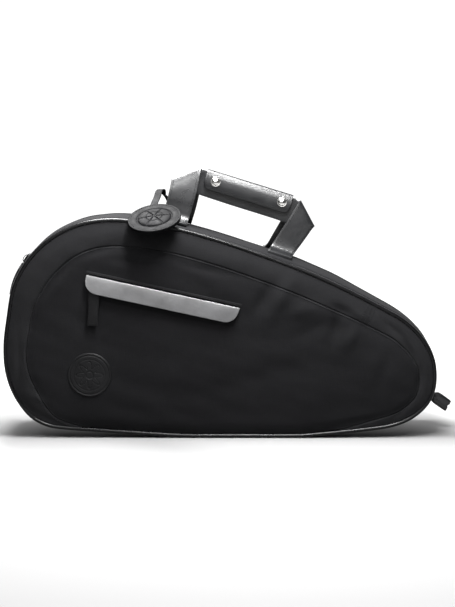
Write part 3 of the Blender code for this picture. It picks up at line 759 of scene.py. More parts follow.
def build_piping():
    for name, side in (("front", FRONT), ("back", BACK)):
        rows = []
        for i in range(AROUND):
            r = PIPE_R * (1.0 + 0.03 * noise.noise(Vector((OUT[i][0] * 60, OUT[i][1] * 60, side))))
            ring = []
            for k in range(PIPE_SIDES):
                a = 2 * math.pi * k / PIPE_SIDES
                flat = OUT[i] - OUT_N[i] * (PIPE_R - r * math.cos(a))
                ring.append((flat[0], side * (PIPE_Y + r * math.sin(a)), max(flat[1], 0.0)))
            rows.append(ring)
        pipe = outward(surface("piping_" + name, rows, LEATHER_PIPE, closed_across=True, closed_along=True))
        belongs(pipe, "case", "leather", name + "_piping")


GUSSET_HALF = 0.0622
TOP_CROWN = 0.0032
ZIP_HALF = 0.0062
ZIP_STITCH = 0.0092
WELT_ROWS = [
    GUSSET_HALF, 0.0612, 0.0605, 0.0598, 0.0589, 0.0583, 0.0578, 0.0573, 0.0566, 0.0558, 0.0552, 0.0545, 0.053
]
# Turned seam allowance beside each piping: distance from the middle, width, height (metres).
WELT = [(0.0578, 0.0011, 0.0010), (0.0605, 0.0008, -0.0007), (0.0552, 0.0009, -0.0006)]


def gusset_out(i, y, upper):
    """How far the gusset stands out from the outline; its upper part most on the slope from handle to toe."""
    x, z = OUT[i]
    share = 1 - (abs(y) / GUSSET_HALF) ** 2
    ripple = noise.noise(Vector((x * 22, y * 22, z * 22))) * 0.0009 * share
    welt = sum(height * groove(abs(y) - at, width) for at, width, height in WELT)
    if not upper:
        low = min(1.0, max(0.0, (z - 0.006) / 0.03))
        return -0.0004 - 0.0004 * (1 - share) + (ripple + welt + 0.0015 * share) * low
    toe_bulge = 0.0035 * groove(x - 0.095, 0.075)
    return -0.0008 + (TOP_CROWN + toe_bulge) * share**0.8 + ripple + welt


def gusset_rows(numbers, places, upper):
    """Rows across the gusset; places are pairs of y and the height over its surface."""
    rows = []
    for i in numbers:
        row = []
        for y, above in places:
            flat = OUT[i] + OUT_N[i] * (gusset_out(i, y, upper) + above)
            row.append((flat[0], y, max(flat[1], 0.0)))
        rows.append(row)
    return np.array(rows)


def band(name, rows, made, node, thickness, slot="canvas"):
    """A strip along the outline, facing outwards."""
    strip = surface(name, rows, made)
    middle = strip.data.polygons[len(strip.data.polygons) // 2]
    away = Vector((middle.center.x + 0.03, 0, middle.center.z - 0.13))
    if middle.normal.dot(away) < 0:
        strip.data.flip_normals()
    thicken(strip, thickness)
    belongs(strip, "case", slot, node)


def build_gusset():
    heel, toe = station(-0.2806, 0.156), station(0.257, 0.076)
    upper = run_between(heel, toe)
    wide = WELT_ROWS + list(np.linspace(0.050, 0.010, 11)) + [0.0078, ZIP_HALF]
    for name, side in (("front", FRONT), ("rear", BACK)):
        places = [(side * y, np.clip((0.010 - y) / 0.003, 0, 1) * 0.0005) for y in wide]
        band("gusset_upper_" + name, gusset_rows(upper, places, True), CANVAS, "gusset_top_" + name, 0.0013)
        line = gusset_rows(upper, [(side * ZIP_STITCH, 0.0001)], True)[:, 0]
        stitches("stitches_gusset_upper_" + name, line, radius=0.0002)
    ys = [-y for y in WELT_ROWS] + list(np.linspace(-0.048, 0.048, 17)) + WELT_ROWS[::-1]
    rows = gusset_rows(run_between(toe, heel), [(y, 0.0) for y in ys], False)
    band("gusset_lower", rows, CANVAS, "gusset_bottom", 0.0014)
    build_zip(upper)


TOOTH_PITCH = 0.0015
TOOTH_HALF = 0.0006
TOOTH_SLOPE = 0.0005
TOOTH_FOOT = -0.0004
TOOTH_FACES = [
    (0, 1, 3, 2), (2, 3, 5, 4), (4, 5, 7, 6), (0, 8, 9, 1), (6, 7, 11, 10), (8, 10, 11, 9),
    (0, 2, 4, 6, 10, 8), (1, 9, 11, 7, 5, 3),
]


def tooth(number, at, axes, far, near, base, top):
    """One coil tooth: a low arch that reaches far over the tape on one side, the next one on the other."""
    along, across, up = axes
    low, high = (-far, near) if number % 2 else (-near, far)
    arch = [(low, base), (low + TOOTH_SLOPE, top), (high - TOOTH_SLOPE, top), (high, base)]
    points = []
    for w, h in arch + [(low, TOOTH_FOOT), (high, TOOTH_FOOT)]:
        for half in (-TOOTH_HALF, TOOTH_HALF):
            points.append(at + along * half + across * w + up * h)
    return points, TOOTH_FACES


def build_zip(numbers):
    under = [OUT[i] + OUT_N[i] * (gusset_out(i, 0.0, True) - 0.0022) for i in numbers]
    rows = [[(x, y, z) for y in np.linspace(-0.0145, 0.0145, 7)] for x, z in under]
    band("main_zip_tape", rows, TAPE, "zip_tape", 0.0008, "zip_tape")
    line = resample(under, spacing=TOOTH_PITCH)
    batches = []
    for k in range(1, len(line) - 1):
        x, z = line[k + 1] - line[k - 1]
        t = Vector((x, 0, z)).normalized()
        n = Vector((-t.z, 0, t.x))
        at = Vector((line[k][0], 0, line[k][1])) + n * 0.0008
        batches.append(tooth(k, at, (t, Y_AXIS, n), far=0.0027, near=0.0006, base=0.0002, top=0.0011))
    coil = joined("main_zip_teeth", batches, COIL, TEETH_ANGLE)
    belongs(coil, "case", "zip_coil", "zip_coil")


# ---------------------------------------------------------------- pocket
FLAP_CORNER = 0.016
FLAP_END = 0.020


def rounded_ends(u):
    """Share of the flap's height at u: both lower corners are rounded off."""
    d = min(u, FLAP_LENGTH - u)
    if d >= FLAP_CORNER:
        return 1.0
    return 0.36 + 0.64 * math.sqrt(max(0.0, 1 - ((FLAP_CORNER - d) / FLAP_CORNER) ** 2))


def flap_y(w, u):
    """The flap leaves the lip above it and leans out towards its lower edge, most at its heel end."""
    lean = 0.0062 - 0.0010 * u / FLAP_LENGTH
    return -0.0756 - lean * (min(w, FLAP_HEIGHT) / FLAP_HEIGHT) ** 0.85


def build_pocket():
    heel_end = np.linspace(0, FLAP_CORNER, 13)
    toe_end = np.linspace(FLAP_LENGTH - FLAP_CORNER, FLAP_LENGTH, 13)
    middle = np.linspace(FLAP_END, FLAP_LENGTH - FLAP_END, 34)
    upper, lower = [0.0, 0.0008, 0.0018, 0.0032], [FLAP_HEIGHT - 0.0006, FLAP_HEIGHT]
    ws = np.concatenate([upper, np.linspace(0.005, FLAP_HEIGHT - 0.0015, 10), lower])
    rows = []
    for u in np.concatenate([heel_end, middle, toe_end]):
        share = rounded_ends(u)
        slant = 0.10 if u < FLAP_END else (-0.16 if u > FLAP_LENGTH - FLAP_END else 0.0)
        fade = max(0.0, 1 - min(u, FLAP_LENGTH - u) / FLAP_END)
        row = []
        for w in ws:
            v = w * share
            y = flap_y(v, u) + noise.noise(Vector((u * 30, w * 60, 7.0))) * 0.0003
            row.append(pocket_point(u + slant * v * fade, v, y))
        rows.append(row)
    flap = surface("flap_leather", rows, LEATHER_FLAP_SHEEN)
    turn_to(flap, FRONT)
    thicken(flap, 0.0017, rounded=0.0004)
    belongs(flap, "pocket_flap", "leather", "pocket_flap")
    build_lip()
    build_pocket_zip()


LIP_OVER = 0.001
# Section of the folded lip: distance below the flap's hinge line, height over the cloth (metres).
LIP = [
    (-0.0052, 0.0), (-0.0048, 0.0003), (-0.0042, 0.0005), (-0.003, 0.0006), (-0.0018, 0.0006),
    (-0.0010, 0.0005), (-0.0007, 0.0001),
]


def build_lip():
    """The folded canvas lip just above the flap, with its row of stitches."""
    us = np.linspace(-LIP_OVER, FLAP_LENGTH + LIP_OVER, 60)
    heights = np.array([height for _, height in LIP])
    rows = []
    for u in us:
        ends = min(1.0, max(0.0, min(u + LIP_OVER, FLAP_LENGTH + LIP_OVER - u) / 0.002))
        rows.append(on_front(pocket_flat([(u, w) for w, _ in LIP]), heights * ends + 0.0001))
    lip = surface("pocket_lip", rows, CANVAS_EDGE_LIT)
    turn_to(lip, FRONT)
    thicken(lip, 0.0008)
    belongs(lip, "case", "canvas")
    stitches("stitches_pocket_lip", on_front(pocket_flat([(u, -0.0026) for u in us[2:-2]]), 0.0009))


def middle_of(node):
    low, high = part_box(node)
    return (low + high) / 2


def build_pocket_zip():
    repaint("pocket_zip_tape", TAPE)
    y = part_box("pocket_zip_coil")[0].y + 0.0009
    batches = []
    for k in range(int(0.168 / TOOTH_PITCH)):
        at = pocket_point(0.0075 + k * TOOTH_PITCH, 0.010, y)
        axes = (ALONG, DOWN, TO_FRONT)
        batches.append(tooth(k, at, axes, far=0.0022, near=0.0005, base=0.0, top=0.0007))
    coil = outward(joined("pocket_zip_teeth", batches, COIL, TEETH_ANGLE))
    belongs(coil, "case", "zip_coil", "pocket_zip_coil")
    build_pocket_slider(middle_of("pocket_slider"))
    build_pocket_pull()


# Outline of the pocket slider along and below its zip, and its bridge: distance along, y (metres).
SLIDER_OUTLINE = [
    (-0.0052, -0.0028), (-0.0052, 0.0028), (-0.002, 0.0036), (0.002, 0.0030), (0.0050, 0.0036),
    (0.0054, 0.002), (0.0054, -0.002), (0.0050, -0.0036), (0.002, -0.0030), (-0.002, -0.0036),
]
POCKET_BRIDGE = [
    (-0.0036, -0.0741), (-0.0030, -0.0752), (-0.001, -0.0758), (0.001, -0.0758), (0.0030, -0.0752),
    (0.0036, -0.0741),
]


def build_pocket_slider(middle):
    """A pinched zip slider with a bridge that holds the pull."""
    points = [Vector((middle.x, -0.0723, middle.z)) + ALONG * a + DOWN * b for a, b in SLIDER_OUTLINE]
    faces = [tuple(range(len(points)))]
    body = new_object("pocket_slider_body", points, faces, ZIP_METAL)
    turn_to(body, BACK)
    thicken(body, 0.0022, rounded=0.0004)
    belongs(body, "pocket_slider", "zip_metal", "pocket_slider")
    rows = []
    for a, y in POCKET_BRIDGE:
        p = Vector((middle.x, y, middle.z)) + ALONG * a
        rows.append([p + DOWN * b for b in (-0.0011, -0.0006, 0.0006, 0.0011)])
    bridge = surface("pocket_slider_bridge", rows, ZIP_METAL)
    thicken(bridge, 0.0007, 0.0, rounded=0.0002)
    belongs(bridge, "pocket_slider", "zip_metal")


TAB_STEPS = 12
TAB_THICK = 0.0019


def leather_tab(name, node, centre_line, widths, side, made):
    """A doubled leather tab; centre_line is (point, normal) pairs from its root to its tip."""
    rows = []
    for (p, normal), half in zip(centre_line, widths):
        row = []
        for t in np.linspace(-1, 1, 7):
            dome = (1 - t * t) * TAB_THICK * 0.25
            row.append(p + side * (half * t) + normal * dome)
        rows.append(row)
    tab = surface(name, rows, made)
    if tab.data.polygons[len(tab.data.polygons) // 2].normal.dot(centre_line[0][1]) < 0:
        tab.data.flip_normals()
    thicken(tab, TAB_THICK, rounded=TAB_THICK * 0.22)
    belongs(tab, node, "leather", node)


def build_pocket_pull():
    low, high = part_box("pocket_pull")
    x = (low.x + high.x) / 2
    line, widths = [], []
    for k in range(TAB_STEPS + 1):
        t = k / TAB_STEPS
        y = low.y + 0.0002 - 0.0013 * math.sin(max(0.0, t - 0.25) * 2.3) + 0.0016 * max(0.0, t - 0.75)
        line.append((Vector((x + 0.0008 * math.sin(t * 5), y, high.z - (high.z - low.z) * t)), TO_FRONT))
        widths.append(0.0034 if t < 0.16 else 0.0066 - 0.0005 * math.cos(t * 9))
    leather_tab("pocket_pull_leather", "pocket_pull", line, widths, X_AXIS, LEATHER_PATCH)
    edge = []
    for t, share in [(0.3, -1), (0.92, -1), (0.955, -0.6), (0.955, 0.6), (0.92, 1), (0.3, 1)]:
        i = min(TAB_STEPS - 1, int(t * TAB_STEPS))
        p = line[i][0].lerp(line[i + 1][0], t * TAB_STEPS - i)
        edge.append(p + Vector((0.0047 * share, -0.0006, 0)))
    stitches("stitches_pocket_pull", edge, pitch=0.0026, radius=0.00024, body="pocket_pull")


# ---------------------------------------------------------------- main zip slider
HEEL_CENTRE = Vector(JOINTS["main_slider_travel"]["pos_m"])
HEEL_RADIUS = 0.129
SLIDER_FOOT = 0.0036
SLIDER_EDGE = 0.0008
# Sections of the main slider: angle round the heel in degrees, half width, height (metres).
SLIDER_RINGS = [
    (142.9, 0.0036, 0.0052), (143.3, 0.0046, 0.0062), (144.6, 0.0052, 0.0066), (146.2, 0.0046, 0.0066),
    (147.6, 0.0040, 0.0066), (148.8, 0.0036, 0.0060), (149.1, 0.0028, 0.0052),
]
# Its bridge: angle round the heel in degrees, height (metres).
MAIN_BRIDGE = [
    (144.4, 0.0064), (144.8, 0.0078), (145.8, 0.0085), (147.0, 0.0085), (148.0, 0.0078), (148.4, 0.0064)
]


def on_heel(angle, out):
    """A point over the heel's arc, and the direction outwards there."""
    a = math.radians(angle)
    n = Vector((math.cos(a), 0, math.sin(a)))
    return Vector((HEEL_CENTRE.x, 0, HEEL_CENTRE.z)) + n * (HEEL_RADIUS + out), n


def build_main_slider():
    rows = []
    for angle, half, high in SLIDER_RINGS:
        p, n = on_heel(angle, 0.0)
        right = [(half - SLIDER_EDGE, high), (half, high - SLIDER_EDGE), (half, SLIDER_FOOT)]
        ring = [(-y, out) for y, out in right[::-1]] + right
        rows.append([p + Vector((0, y, 0)) + n * out for y, out in ring])
    body = surface("main_slider_body", rows, ZIP_METAL, closed_across=True, smooth_angle=METAL_ANGLE)
    belongs(outward(body, close_ends=True), "main_slider", "zip_metal", "main_slider")
    rows = []
    for angle, out in MAIN_BRIDGE:
        rows.append([on_heel(angle, out)[0] + Vector((0, y, 0)) for y in (-0.0012, 0.0, 0.0012)])
    bridge = surface("main_slider_bridge", rows, ZIP_METAL)
    thicken(bridge, 0.0008, 0.0, rounded=0.0002)
    belongs(bridge, "main_slider", "zip_metal")
    line, widths = [], []
    for k in range(TAB_STEPS + 1):
        t = k / TAB_STEPS
        line.append(on_heel(149.4 + 18.6 * t, 0.0066 + 0.0012 * math.sin(t * 2.6)))
        widths.append(0.003 if t < 0.12 else 0.0065)
    leather_tab("main_pull_leather", "main_pull", line, widths, Y_AXIS, LEATHER)


# ---------------------------------------------------------------- handle
TILT = JOINTS["handle_tilt"]
S_DIR = Vector(TILT["axis"]).normalized()
H_DIR = Vector((-S_DIR.z, 0, S_DIR.x))
TILT_S, TILT_H = 0.065, 0.028
BASE = Vector(TILT["pos_m"]) - S_DIR * TILT_S - H_DIR * TILT_H


def handle_point(s, y, h):
    """A point s along the handle, y across it and h above its base, in millimetres."""
    p = BASE + S_DIR * (s * MM) + H_DIR * (h * MM)
    return Vector((p.x, y * MM, p.z))


# Strap edges from the heel foot over the bar to the toe foot, in millimetres:
# s, h of the outer or lower edge; s, h of the inner or upper edge; y of the one and the other.
FRONT_STRAP = [
    (-20.5, 4.3, 11.5, 4.3, -43, -43), (-20.5, 4.5, 11.5, 4.5, -32, -32), (-20.6, 5.8, 11.7, 5.8, -23.5, -23.5),
    (-20.8, 11.0, 11.9, 11.5, -18.2, -18.2), (-21.2, 20.0, 12.2, 22.0, -16.8, -16.6),
    (-21.7, 31.0, 11.9, 38.0, -16.4, -15.8), (-22.4, 42.0, 10.6, 56.0, -14.6, -13.0),
    (-23.2, 51.0, 8.6, 73.8, -10.4, -8.8), (-23.6, 53.2, 8.3, 77.2, -7.4, -6.2),
    (-22.8, 52.0, 9.2, 76.2, -5.2, -4.5),
    (-8.0, 48.0, 14.0, 75.8, -4.4, -4.0), (8.0, 44.8, 20.0, 75.6, -3.8, -3.8),
    (22.0, 44.0, 28.0, 75.6, -3.6, -3.6),
    (60.0, 43.2, 62.0, 75.6, -3.6, -3.6), (100.0, 43.0, 98.0, 75.6, -3.6, -3.6),
    (118.0, 42.8, 112.0, 75.6, -3.6, -3.6), (134.0, 42.4, 124.0, 75.4, -3.8, -3.8),
    (150.0, 43.0, 134.0, 75.0, -4.4, -4.0), (166.0, 46.6, 139.4, 73.2, -5.2, -4.5),
    (167.6, 48.2, 141.0, 74.6, -7.8, -6.4), (166.2, 45.4, 139.2, 71.0, -10.6, -9.2),
    (162.6, 34.5, 135.2, 55.0, -13.0, -12.4), (158.8, 23.5, 130.4, 37.5, -14.6, -14.6),
    (155.0, 13.0, 125.6, 21.0, -16.4, -15.8), (152.6, 6.5, 122.3, 9.5, -19.5, -18.6),
    (151.2, 3.6, 120.2, 4.2, -26.0, -26.0), (150.5, 3.0, 119.4, 3.2, -36, -36),
    (150.0, 2.6, 118.8, 2.8, -44, -44),
]
REAR_SHIFT_HEEL = 5.0
REAR_SHIFT_TOE = -4.0
REAR_UPRIGHT = 6.0
STRAP_SPACING = 0.0034 * 1.45
STRAP_STITCH_HALF = 0.0011


def strap_edges(side):
    """Pairs of edge points of one strap; the rear one mirrors the front and stands a little nearer the middle."""
    rows = []
    for s_a, h_a, s_b, h_b, y_a, y_b in FRONT_STRAP:
        if side == BACK:
            for_heel = max(0.0, 1 - abs(s_a + 5) / 60) if s_a < 40 else 0.0
            for_toe = max(0.0, 1 - abs(s_a - 155) / 60) if s_a > 100 else 0.0
            low = max(0.0, 1 - h_a / 60) ** 0.3
            shift = (REAR_SHIFT_HEEL * min(1, for_heel * 2) + REAR_SHIFT_TOE * min(1, for_toe * 2)) * low
            upright = REAR_UPRIGHT * for_toe * max(0.0, (h_b - 10) / 65)
            s_a, s_b = s_a + shift, s_b + shift - upright
        rows.append((s_a, h_a, side * -y_a, s_b, h_b, side * -y_b))
    edges = []
    for s_a, h_a, y_a, s_b, h_b, y_b in catmull(rows, 6):
        edges.append((handle_point(s_a, y_a, h_a), handle_point(s_b, y_b, h_b)))
    return edges


def sway(p):
    """Slow irregularity of soft leather."""
    return noise.noise(p * 28) * 0.0009


def bends_with_handle(thing):
    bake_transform(thing)


def build_straps():
    for name, side in (("front", FRONT), ("rear", BACK)):
        edges = strap_edges(side)
        rows = [[a.lerp(b, t) for t in np.linspace(0, 1, 9)] for a, b in edges]
        strap = surface("strap_" + name, rows, LEATHER)
        for v in strap.data.vertices:
            v.co.y += sway(v.co)
        thicken(strap, 0.0026, 0.0, rounded=0.0005)
        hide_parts(*[name + "_strap" + part for part in ("", "_foot_heel", "_foot_toe")])
        bends_with_handle(strap)
        strap_stitches("stitches_strap_" + name, edges, side)


def strap_stitches(name, edges, side):
    """Two rows of thread near the strap's edges on its outer face."""
    batches = []
    for share in (0.085, 0.915):
        both = [(*a.lerp(b, share), *a.lerp(b, 1 - share)) for a, b in edges]
        both = resample(both, spacing=STRAP_SPACING)
        for i in range(1, len(both) - 1):
            a, b = Vector(both[i][:3]), Vector(both[i + 1][:3])
            across = (Vector(both[i][3:]) - a).normalized() * (1 if share < 0.5 else -1)
            along = (b - a).normalized()
            normal = along.cross(across).normalized()
            middle = (a + b) / 2
            if abs(normal.y) > 0.2 and 0.0 < abs(middle.y) < 0.0058:
                continue
            inward = normal.y * side < 0 if abs(normal.y) > 0.05 else normal.z < 0
            if inward:
                normal = -normal
            half = along * STRAP_STITCH_HALF
            middle = middle + normal * 0.0016 + Vector((0, sway(middle), 0))
            batches.append(capsule(middle - half, middle + half, 0.00027))
    bends_with_handle(joined(name, batches, THREAD))


# Sections of the grip wrap and of its front flap: y, h (millimetres).
GRIP_BACK = [
    (6.6, 45.0), (6.9, 50), (7.0, 60), (6.9, 70), (6.5, 75.4), (5.4, 77.4), (3.0, 78.5), (-1.0, 78.9),
    (-4.6, 78.7), (-6.6, 78.3),
]
GRIP_FLAP = [
    (-5.2, 79.0), (-6.6, 78.7), (-7.9, 77.4), (-9.0, 74.6), (-10.2, 70.6), (-10.9, 66.0), (-11.0, 61.0),
    (-10.6, 57.0), (-9.8, 54.3),
]
# Outer face of the snapped flap: h, y (millimetres).
GRIP_FACE = [(54.3, -9.85), (57.0, -10.65), (61.0, -11.05), (66.0, -10.95), (70.6, -10.25), (74.6, -9.05)]
GRIP_START, GRIP_END = 17.0, 131.0
GRIP_LOW, GRIP_TOP = 54.3, 78.3
GRIP_CORNER = 7


def build_grip():
    profile = catmull(GRIP_BACK, 3)
    rows = []
    for s in np.linspace(17.2, 130.8, 26):
        sag = 0.25 * math.sin(s * 0.09)
        row = []
        for y, h in profile:
            dent = noise.noise(Vector((s * 0.03, h * 0.03, 3))) * 0.4
            row.append(handle_point(s, y + dent, h + sag * 0.3))
        rows.append(row)
    back = surface("grip_back", rows, LEATHER)
    turn_to(back, BACK)
    thicken(back, 0.0016, rounded=0.0004)
    belongs(back, "handle", "leather", "grip_wrap")
    build_grip_flap()
    build_snaps()


def grip_bulge(s, h):
    """How far the grip flap bulges out, in millimetres."""
    arch = 0.5 * math.sin((s - GRIP_START) / (GRIP_END - GRIP_START) * math.pi)
    return (arch + noise.noise(Vector((s * 0.04, h * 0.05, 11))) * 0.35) * 0.6


def build_grip_flap():
    start, end = GRIP_START, GRIP_END
    profile = catmull(GRIP_FLAP, 4)
    ends = np.linspace(start, start + GRIP_CORNER, 8), np.linspace(end - GRIP_CORNER, end, 8)
    rows = []
    for s in np.concatenate([ends[0], np.linspace(start + 11, end - 11, 22), ends[1]]):
        short = max(0.0, GRIP_CORNER - min(s - start, end - s))
        rise = GRIP_CORNER - math.sqrt(max(0.0, GRIP_CORNER**2 - short**2))
        row = []
        for y, h in profile:
            t = (h - GRIP_LOW) / (GRIP_TOP - GRIP_LOW)
            out = grip_bulge(s, h) * min(1, (1 - t) * 3)
            row.append(handle_point(s, y - out, h + rise * max(0.0, 1 - t * 1.6)))
        rows.append(row)
    flap = surface("grip_flap_leather", rows, LEATHER)
    turn_to(flap, FRONT)
    thicken(flap, 0.0018, rounded=0.0004)
    belongs(flap, "wrap_flap", "leather", "grip_flap")
    half = [(2.6, 75), (2.6, GRIP_LOW + 8), (4.2, GRIP_LOW + 4.2), (8.5, GRIP_LOW + 2.6)]
    line = [(start + s, h) for s, h in half] + [(end - s, h) for s, h in half[::-1]]
    points = []
    for s, h in resample(line, spacing=1.0):
        points.append(handle_point(s, np.interp(h, *zip(*GRIP_FACE)) - grip_bulge(s, h), h))
    stitches("stitches_grip_flap", points, pitch=0.003, body="wrap_flap")


# ---------------------------------------------------------------- round pieces
# Half section of a snap cap from its middle to its rolled rim: radius, height (millimetres).
SNAP_CAP = [
    (0.02, 2.5), (1.5, 2.42), (3.0, 2.1), (4.2, 1.6), (4.9, 1.1), (5.15, 0.9), (5.4, 0.95), (5.9, 1.1),
    (6.25, 0.95), (6.35, 0.5), (6.2, -0.2),
]
SNAP_STEPS = 40
SNAP_ANGLE = 60
FACING_FRONT = (X_AXIS, Z_AXIS, TO_FRONT)
SMALLEST_RING = 0.00003


def round_piece(name, at, axes, rows, made, smooth_angle=0):
    """A closed round piece; each row is a radius and the heights at even steps round it."""
    u, v, n = axes
    rings = []
    for radius, heights in rows:
        ring = []
        for k, height in enumerate(heights):
            a = 2 * math.pi * k / len(heights)
            ring.append(at + u * (radius * math.cos(a)) + v * (radius * math.sin(a)) + n * height)
        rings.append(ring)
    thing = surface(name, rings, made, closed_across=True, smooth_angle=smooth_angle)
    return outward(thing, close_ends=True)


def build_snaps():
    for end in ("heel", "toe"):
        node = "snap_cap_" + end
        middle = middle_of(node)
        at = Vector((middle.x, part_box(node)[1].y - 0.0012, middle.z))
        rows = [(radius * MM, [height * MM] * SNAP_STEPS) for radius, height in SNAP_CAP]
        cap = round_piece("snap_" + end, at, FACING_FRONT, rows, NICKEL, SNAP_ANGLE)
        belongs(cap, "wrap_flap", "nickel", node)
        repaint("snap_stud_" + end, NICKEL)


def relief(name, at, axes, radius, height, made, rings=44, steps=96, thickness=0.0016):
    """A round leather piece whose face is shaped by height(r, angle) in metres."""
    turns = [2 * math.pi * k / steps for k in range(steps)]
    rows = []
    for k in range(rings + 1):
        r = radius * k / rings
        rows.append((max(r, SMALLEST_RING), [height(r, a) for a in turns]))
    for wider, drop in ((0.0002, 0.4), (0.0002, 1.0), (-0.0006, 1.15)):
        rows.append((radius + wider, [height(radius, 0) - thickness * drop] * steps))
    return round_piece(name, at, axes, rows, made)


def patch_height(r, a):
    """Rings and a plain petal lattice, pressed into the leather."""
    h = 0.0016 * (1 - max(0.0, (r - 0.0262) / 0.0018) ** 2)
    h -= 0.0008 * groove(r - 0.0245, 0.0006)
    h -= 0.0004 * groove(r - 0.0195, 0.0005)
    if r < 0.0190:
        wave = 0.0125 + 0.0045 * math.cos(8 * a)
        h -= 0.0008 * groove(r - wave, 0.0007)
        h -= 0.0007 * groove(r - 0.0045, 0.0006)
    return h + noise.noise(Vector((r * 300, a * 2, 0))) * 0.00006


def build_patch():
    middle = middle_of("round_patch")
    at = Vector((middle.x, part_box("round_patch")[1].y, middle.z))
    patch = relief("patch_round", at, FACING_FRONT, 0.028, patch_height, LEATHER_PATCH)
    belongs(patch, "case", "leather", "round_patch")


# ---------------------------------------------------------------- tag
def tag_height(r, a):
    """Domed middle in six panels, a step down to a flat rim."""
    if r < 0.0205:
        h = 0.0042 * (1 - (r / 0.0205) ** 2) ** 0.45 * 0.6 + 0.0012
        sector = abs(((a / (math.pi / 3)) % 1.0) - 0.5)
        h -= 0.0012 * groove((0.5 - sector) * r * 1.05, 0.0008) * min(1, r / 0.004)
        return h - 0.0008 * groove(r - 0.0105, 0.0007)
    return 0.0012 - 0.0010 * groove(r - 0.0215, 0.0010) + 0.0004 * groove(r - 0.0265, 0.003)


def tag_axes():
    """Middle of the tag's back disc and its directions to the right, up and out."""
    vertices = np.array([v.co for v in NODES["tag_back"].data.vertices])
    centre = (vertices.max(0) + vertices.min(0)) / 2
    _, _, axes = np.linalg.svd(vertices - vertices.mean(0), full_matrices=False)
    normal = Vector(axes[2])
    normal = normal if normal.z > 0 else -normal
    right = Vector((normal.z, 0, -normal.x)).normalized()
    return Vector(centre), right, normal.cross(right), normal


def flat_back(r, a):
    return 0.0004


def build_tag():
    centre, right, up, normal = tag_axes()
    face_at = centre + normal * 0.0024
    axes = (right, up, normal)
    face = relief("tag_face_leather", face_at, axes, 0.033, tag_height, LEATHER_TAG, 52, 120, 0.0024)
    belongs(face, "tag", "leather", "tag_face")
    back_at = centre - normal * 0.0004
    back = relief("tag_back_leather", back_at, (right, up, -normal), 0.0327, flat_back, LEATHER_TAG, rings=10)
    belongs(back, "tag", "leather", "tag_back")
    edge = []
    for t in np.linspace(0, 2 * math.pi, 140)[:-1]:
        edge.append(face_at + (right * math.cos(t) + up * math.sin(t)) * 0.0305 + normal * 0.0016)
    stitches("stitches_tag", edge, pitch=0.003, radius=0.00027, body="tag", closed=True)
    build_tag_strap(centre, right, up, normal)


def build_tag_strap(centre, right, up, normal):
    """A narrow strap from under the heel strap's fold to the disc, turning from upright to level on its way."""
    path = [
        (handle_point(-2, 0, 20), 0.0), (handle_point(-14, -0.5, 22), 0.0), (handle_point(-22, -2, 27), 0.3),
        (Vector((-0.0868, -0.006, 0.3035)), 0.55), (Vector((-0.0885, -0.011, 0.3095)), 0.85),
        (Vector((-0.0915, -0.019, 0.3085)), 1.0), (Vector((-0.0935, -0.030, 0.3015)), 1.0),
        (centre + up * 0.036 + normal * 0.0012, 1.0), (centre + up * 0.028 + normal * 0.0010, 1.0),
        (centre + up * 0.022 + normal * 0.0010, 1.0),
    ]
    rows = []
    for row in catmull([(*p, *H_DIR.lerp(-right, turn).normalized()) for p, turn in path], 6):
        p, w = Vector(row[:3]), Vector(row[3:]).normalized()
        rows.append([p + w * (0.0046 * t) for t in np.linspace(-1, 1, 5)])
    strap = surface("tag_strap_leather", rows, LEATHER_TAG)
    thicken(strap, 0.0015, 0.0, rounded=0.0003)
    belongs(strap, "tag", "leather", "tag_strap")


# ---------------------------------------------------------------- toe loop
LOOP_ROOT = Vector((0.2562, 0, 0.0468))
LOOP_OUT = Vector((0.83, 0, -0.557)).normalized()
LOOP_ACROSS = Vector((0.557, 0, 0.83)).normalized()
LOOP_SAG = -0.0006
LOOP_SIDES = 28
# Sections of the toe loop: distance out, half width, half depth (millimetres), turn in degrees.
LOOP_STOPS = [
    (-3, 4.2, 2.2, 75), (1, 4.6, 2.3, 66), (5, 5.4, 2.3, 44), (8, 6.8, 2.4, 20), (10.5, 7.6, 2.5, 6),
    (13, 7.9, 2.5, 0), (20, 8.0, 2.45, 0), (26, 7.9, 2.4, 0), (29.2, 7.7, 2.2, 0), (30.6, 7.3, 1.7, 0),
    (31.2, 6.7, 0.9, 0),
]


def loop_point(u, reach, across, sideways):
    """A point of the toe loop, which sags with the distance u from its root; all in millimetres."""
    p = LOOP_ROOT + LOOP_OUT * (reach * MM) + LOOP_ACROSS * ((across + LOOP_SAG * u * u) * MM)
    return p + TO_FRONT * (sideways * MM)


def power(value, exponent):
    return math.copysign(abs(value) ** exponent, value)


def build_toe_loop():
    """A strap folded to its middle: flat towards the front, pinched and turned where it enters the seam."""
    rows = []
    for u, half, deep, turn in catmull(LOOP_STOPS, 4):
        cosine, sine = math.cos(math.radians(turn)), math.sin(math.radians(turn))
        ring = []
        for k in range(LOOP_SIDES):
            t = 2 * math.pi * k / LOOP_SIDES
            v = half * power(math.cos(t), 0.75)
            w = power(math.sin(t), 0.6) * (deep - 1.1 * groove(v, 1.0))
            notch = 1.3 * groove(v, 1.4) * max(0.0, (u - 25) / 6)
            reach = u - notch - 0.06 * v * max(0.0, u - 20) / 10
            ring.append(loop_point(u, reach, v * cosine - w * sine, v * sine + w * cosine))
        rows.append(ring)
    loop = surface("toe_loop_leather", rows, LEATHER, closed_across=True, smooth_angle=EDGE_ANGLE)
    belongs(outward(loop, close_ends=True), "case", "leather", "toe_loop")
    for name, shift in (("low", -5.8), ("high", 5.8)):
        line = [loop_point(u, u, shift, 2.1) for u in (12, 18, 24, 28)]
        stitches("stitches_toe_loop_" + name, line, pitch=0.0026, radius=0.0002)


def repaint_hidden():
    for node, made in (
        ("front_padding", FOAM),
        ("back_padding", FOAM),
        ("base_board", BOARD),
        ("pocket_pouch", LINING),
    ):
        repaint(node, made)


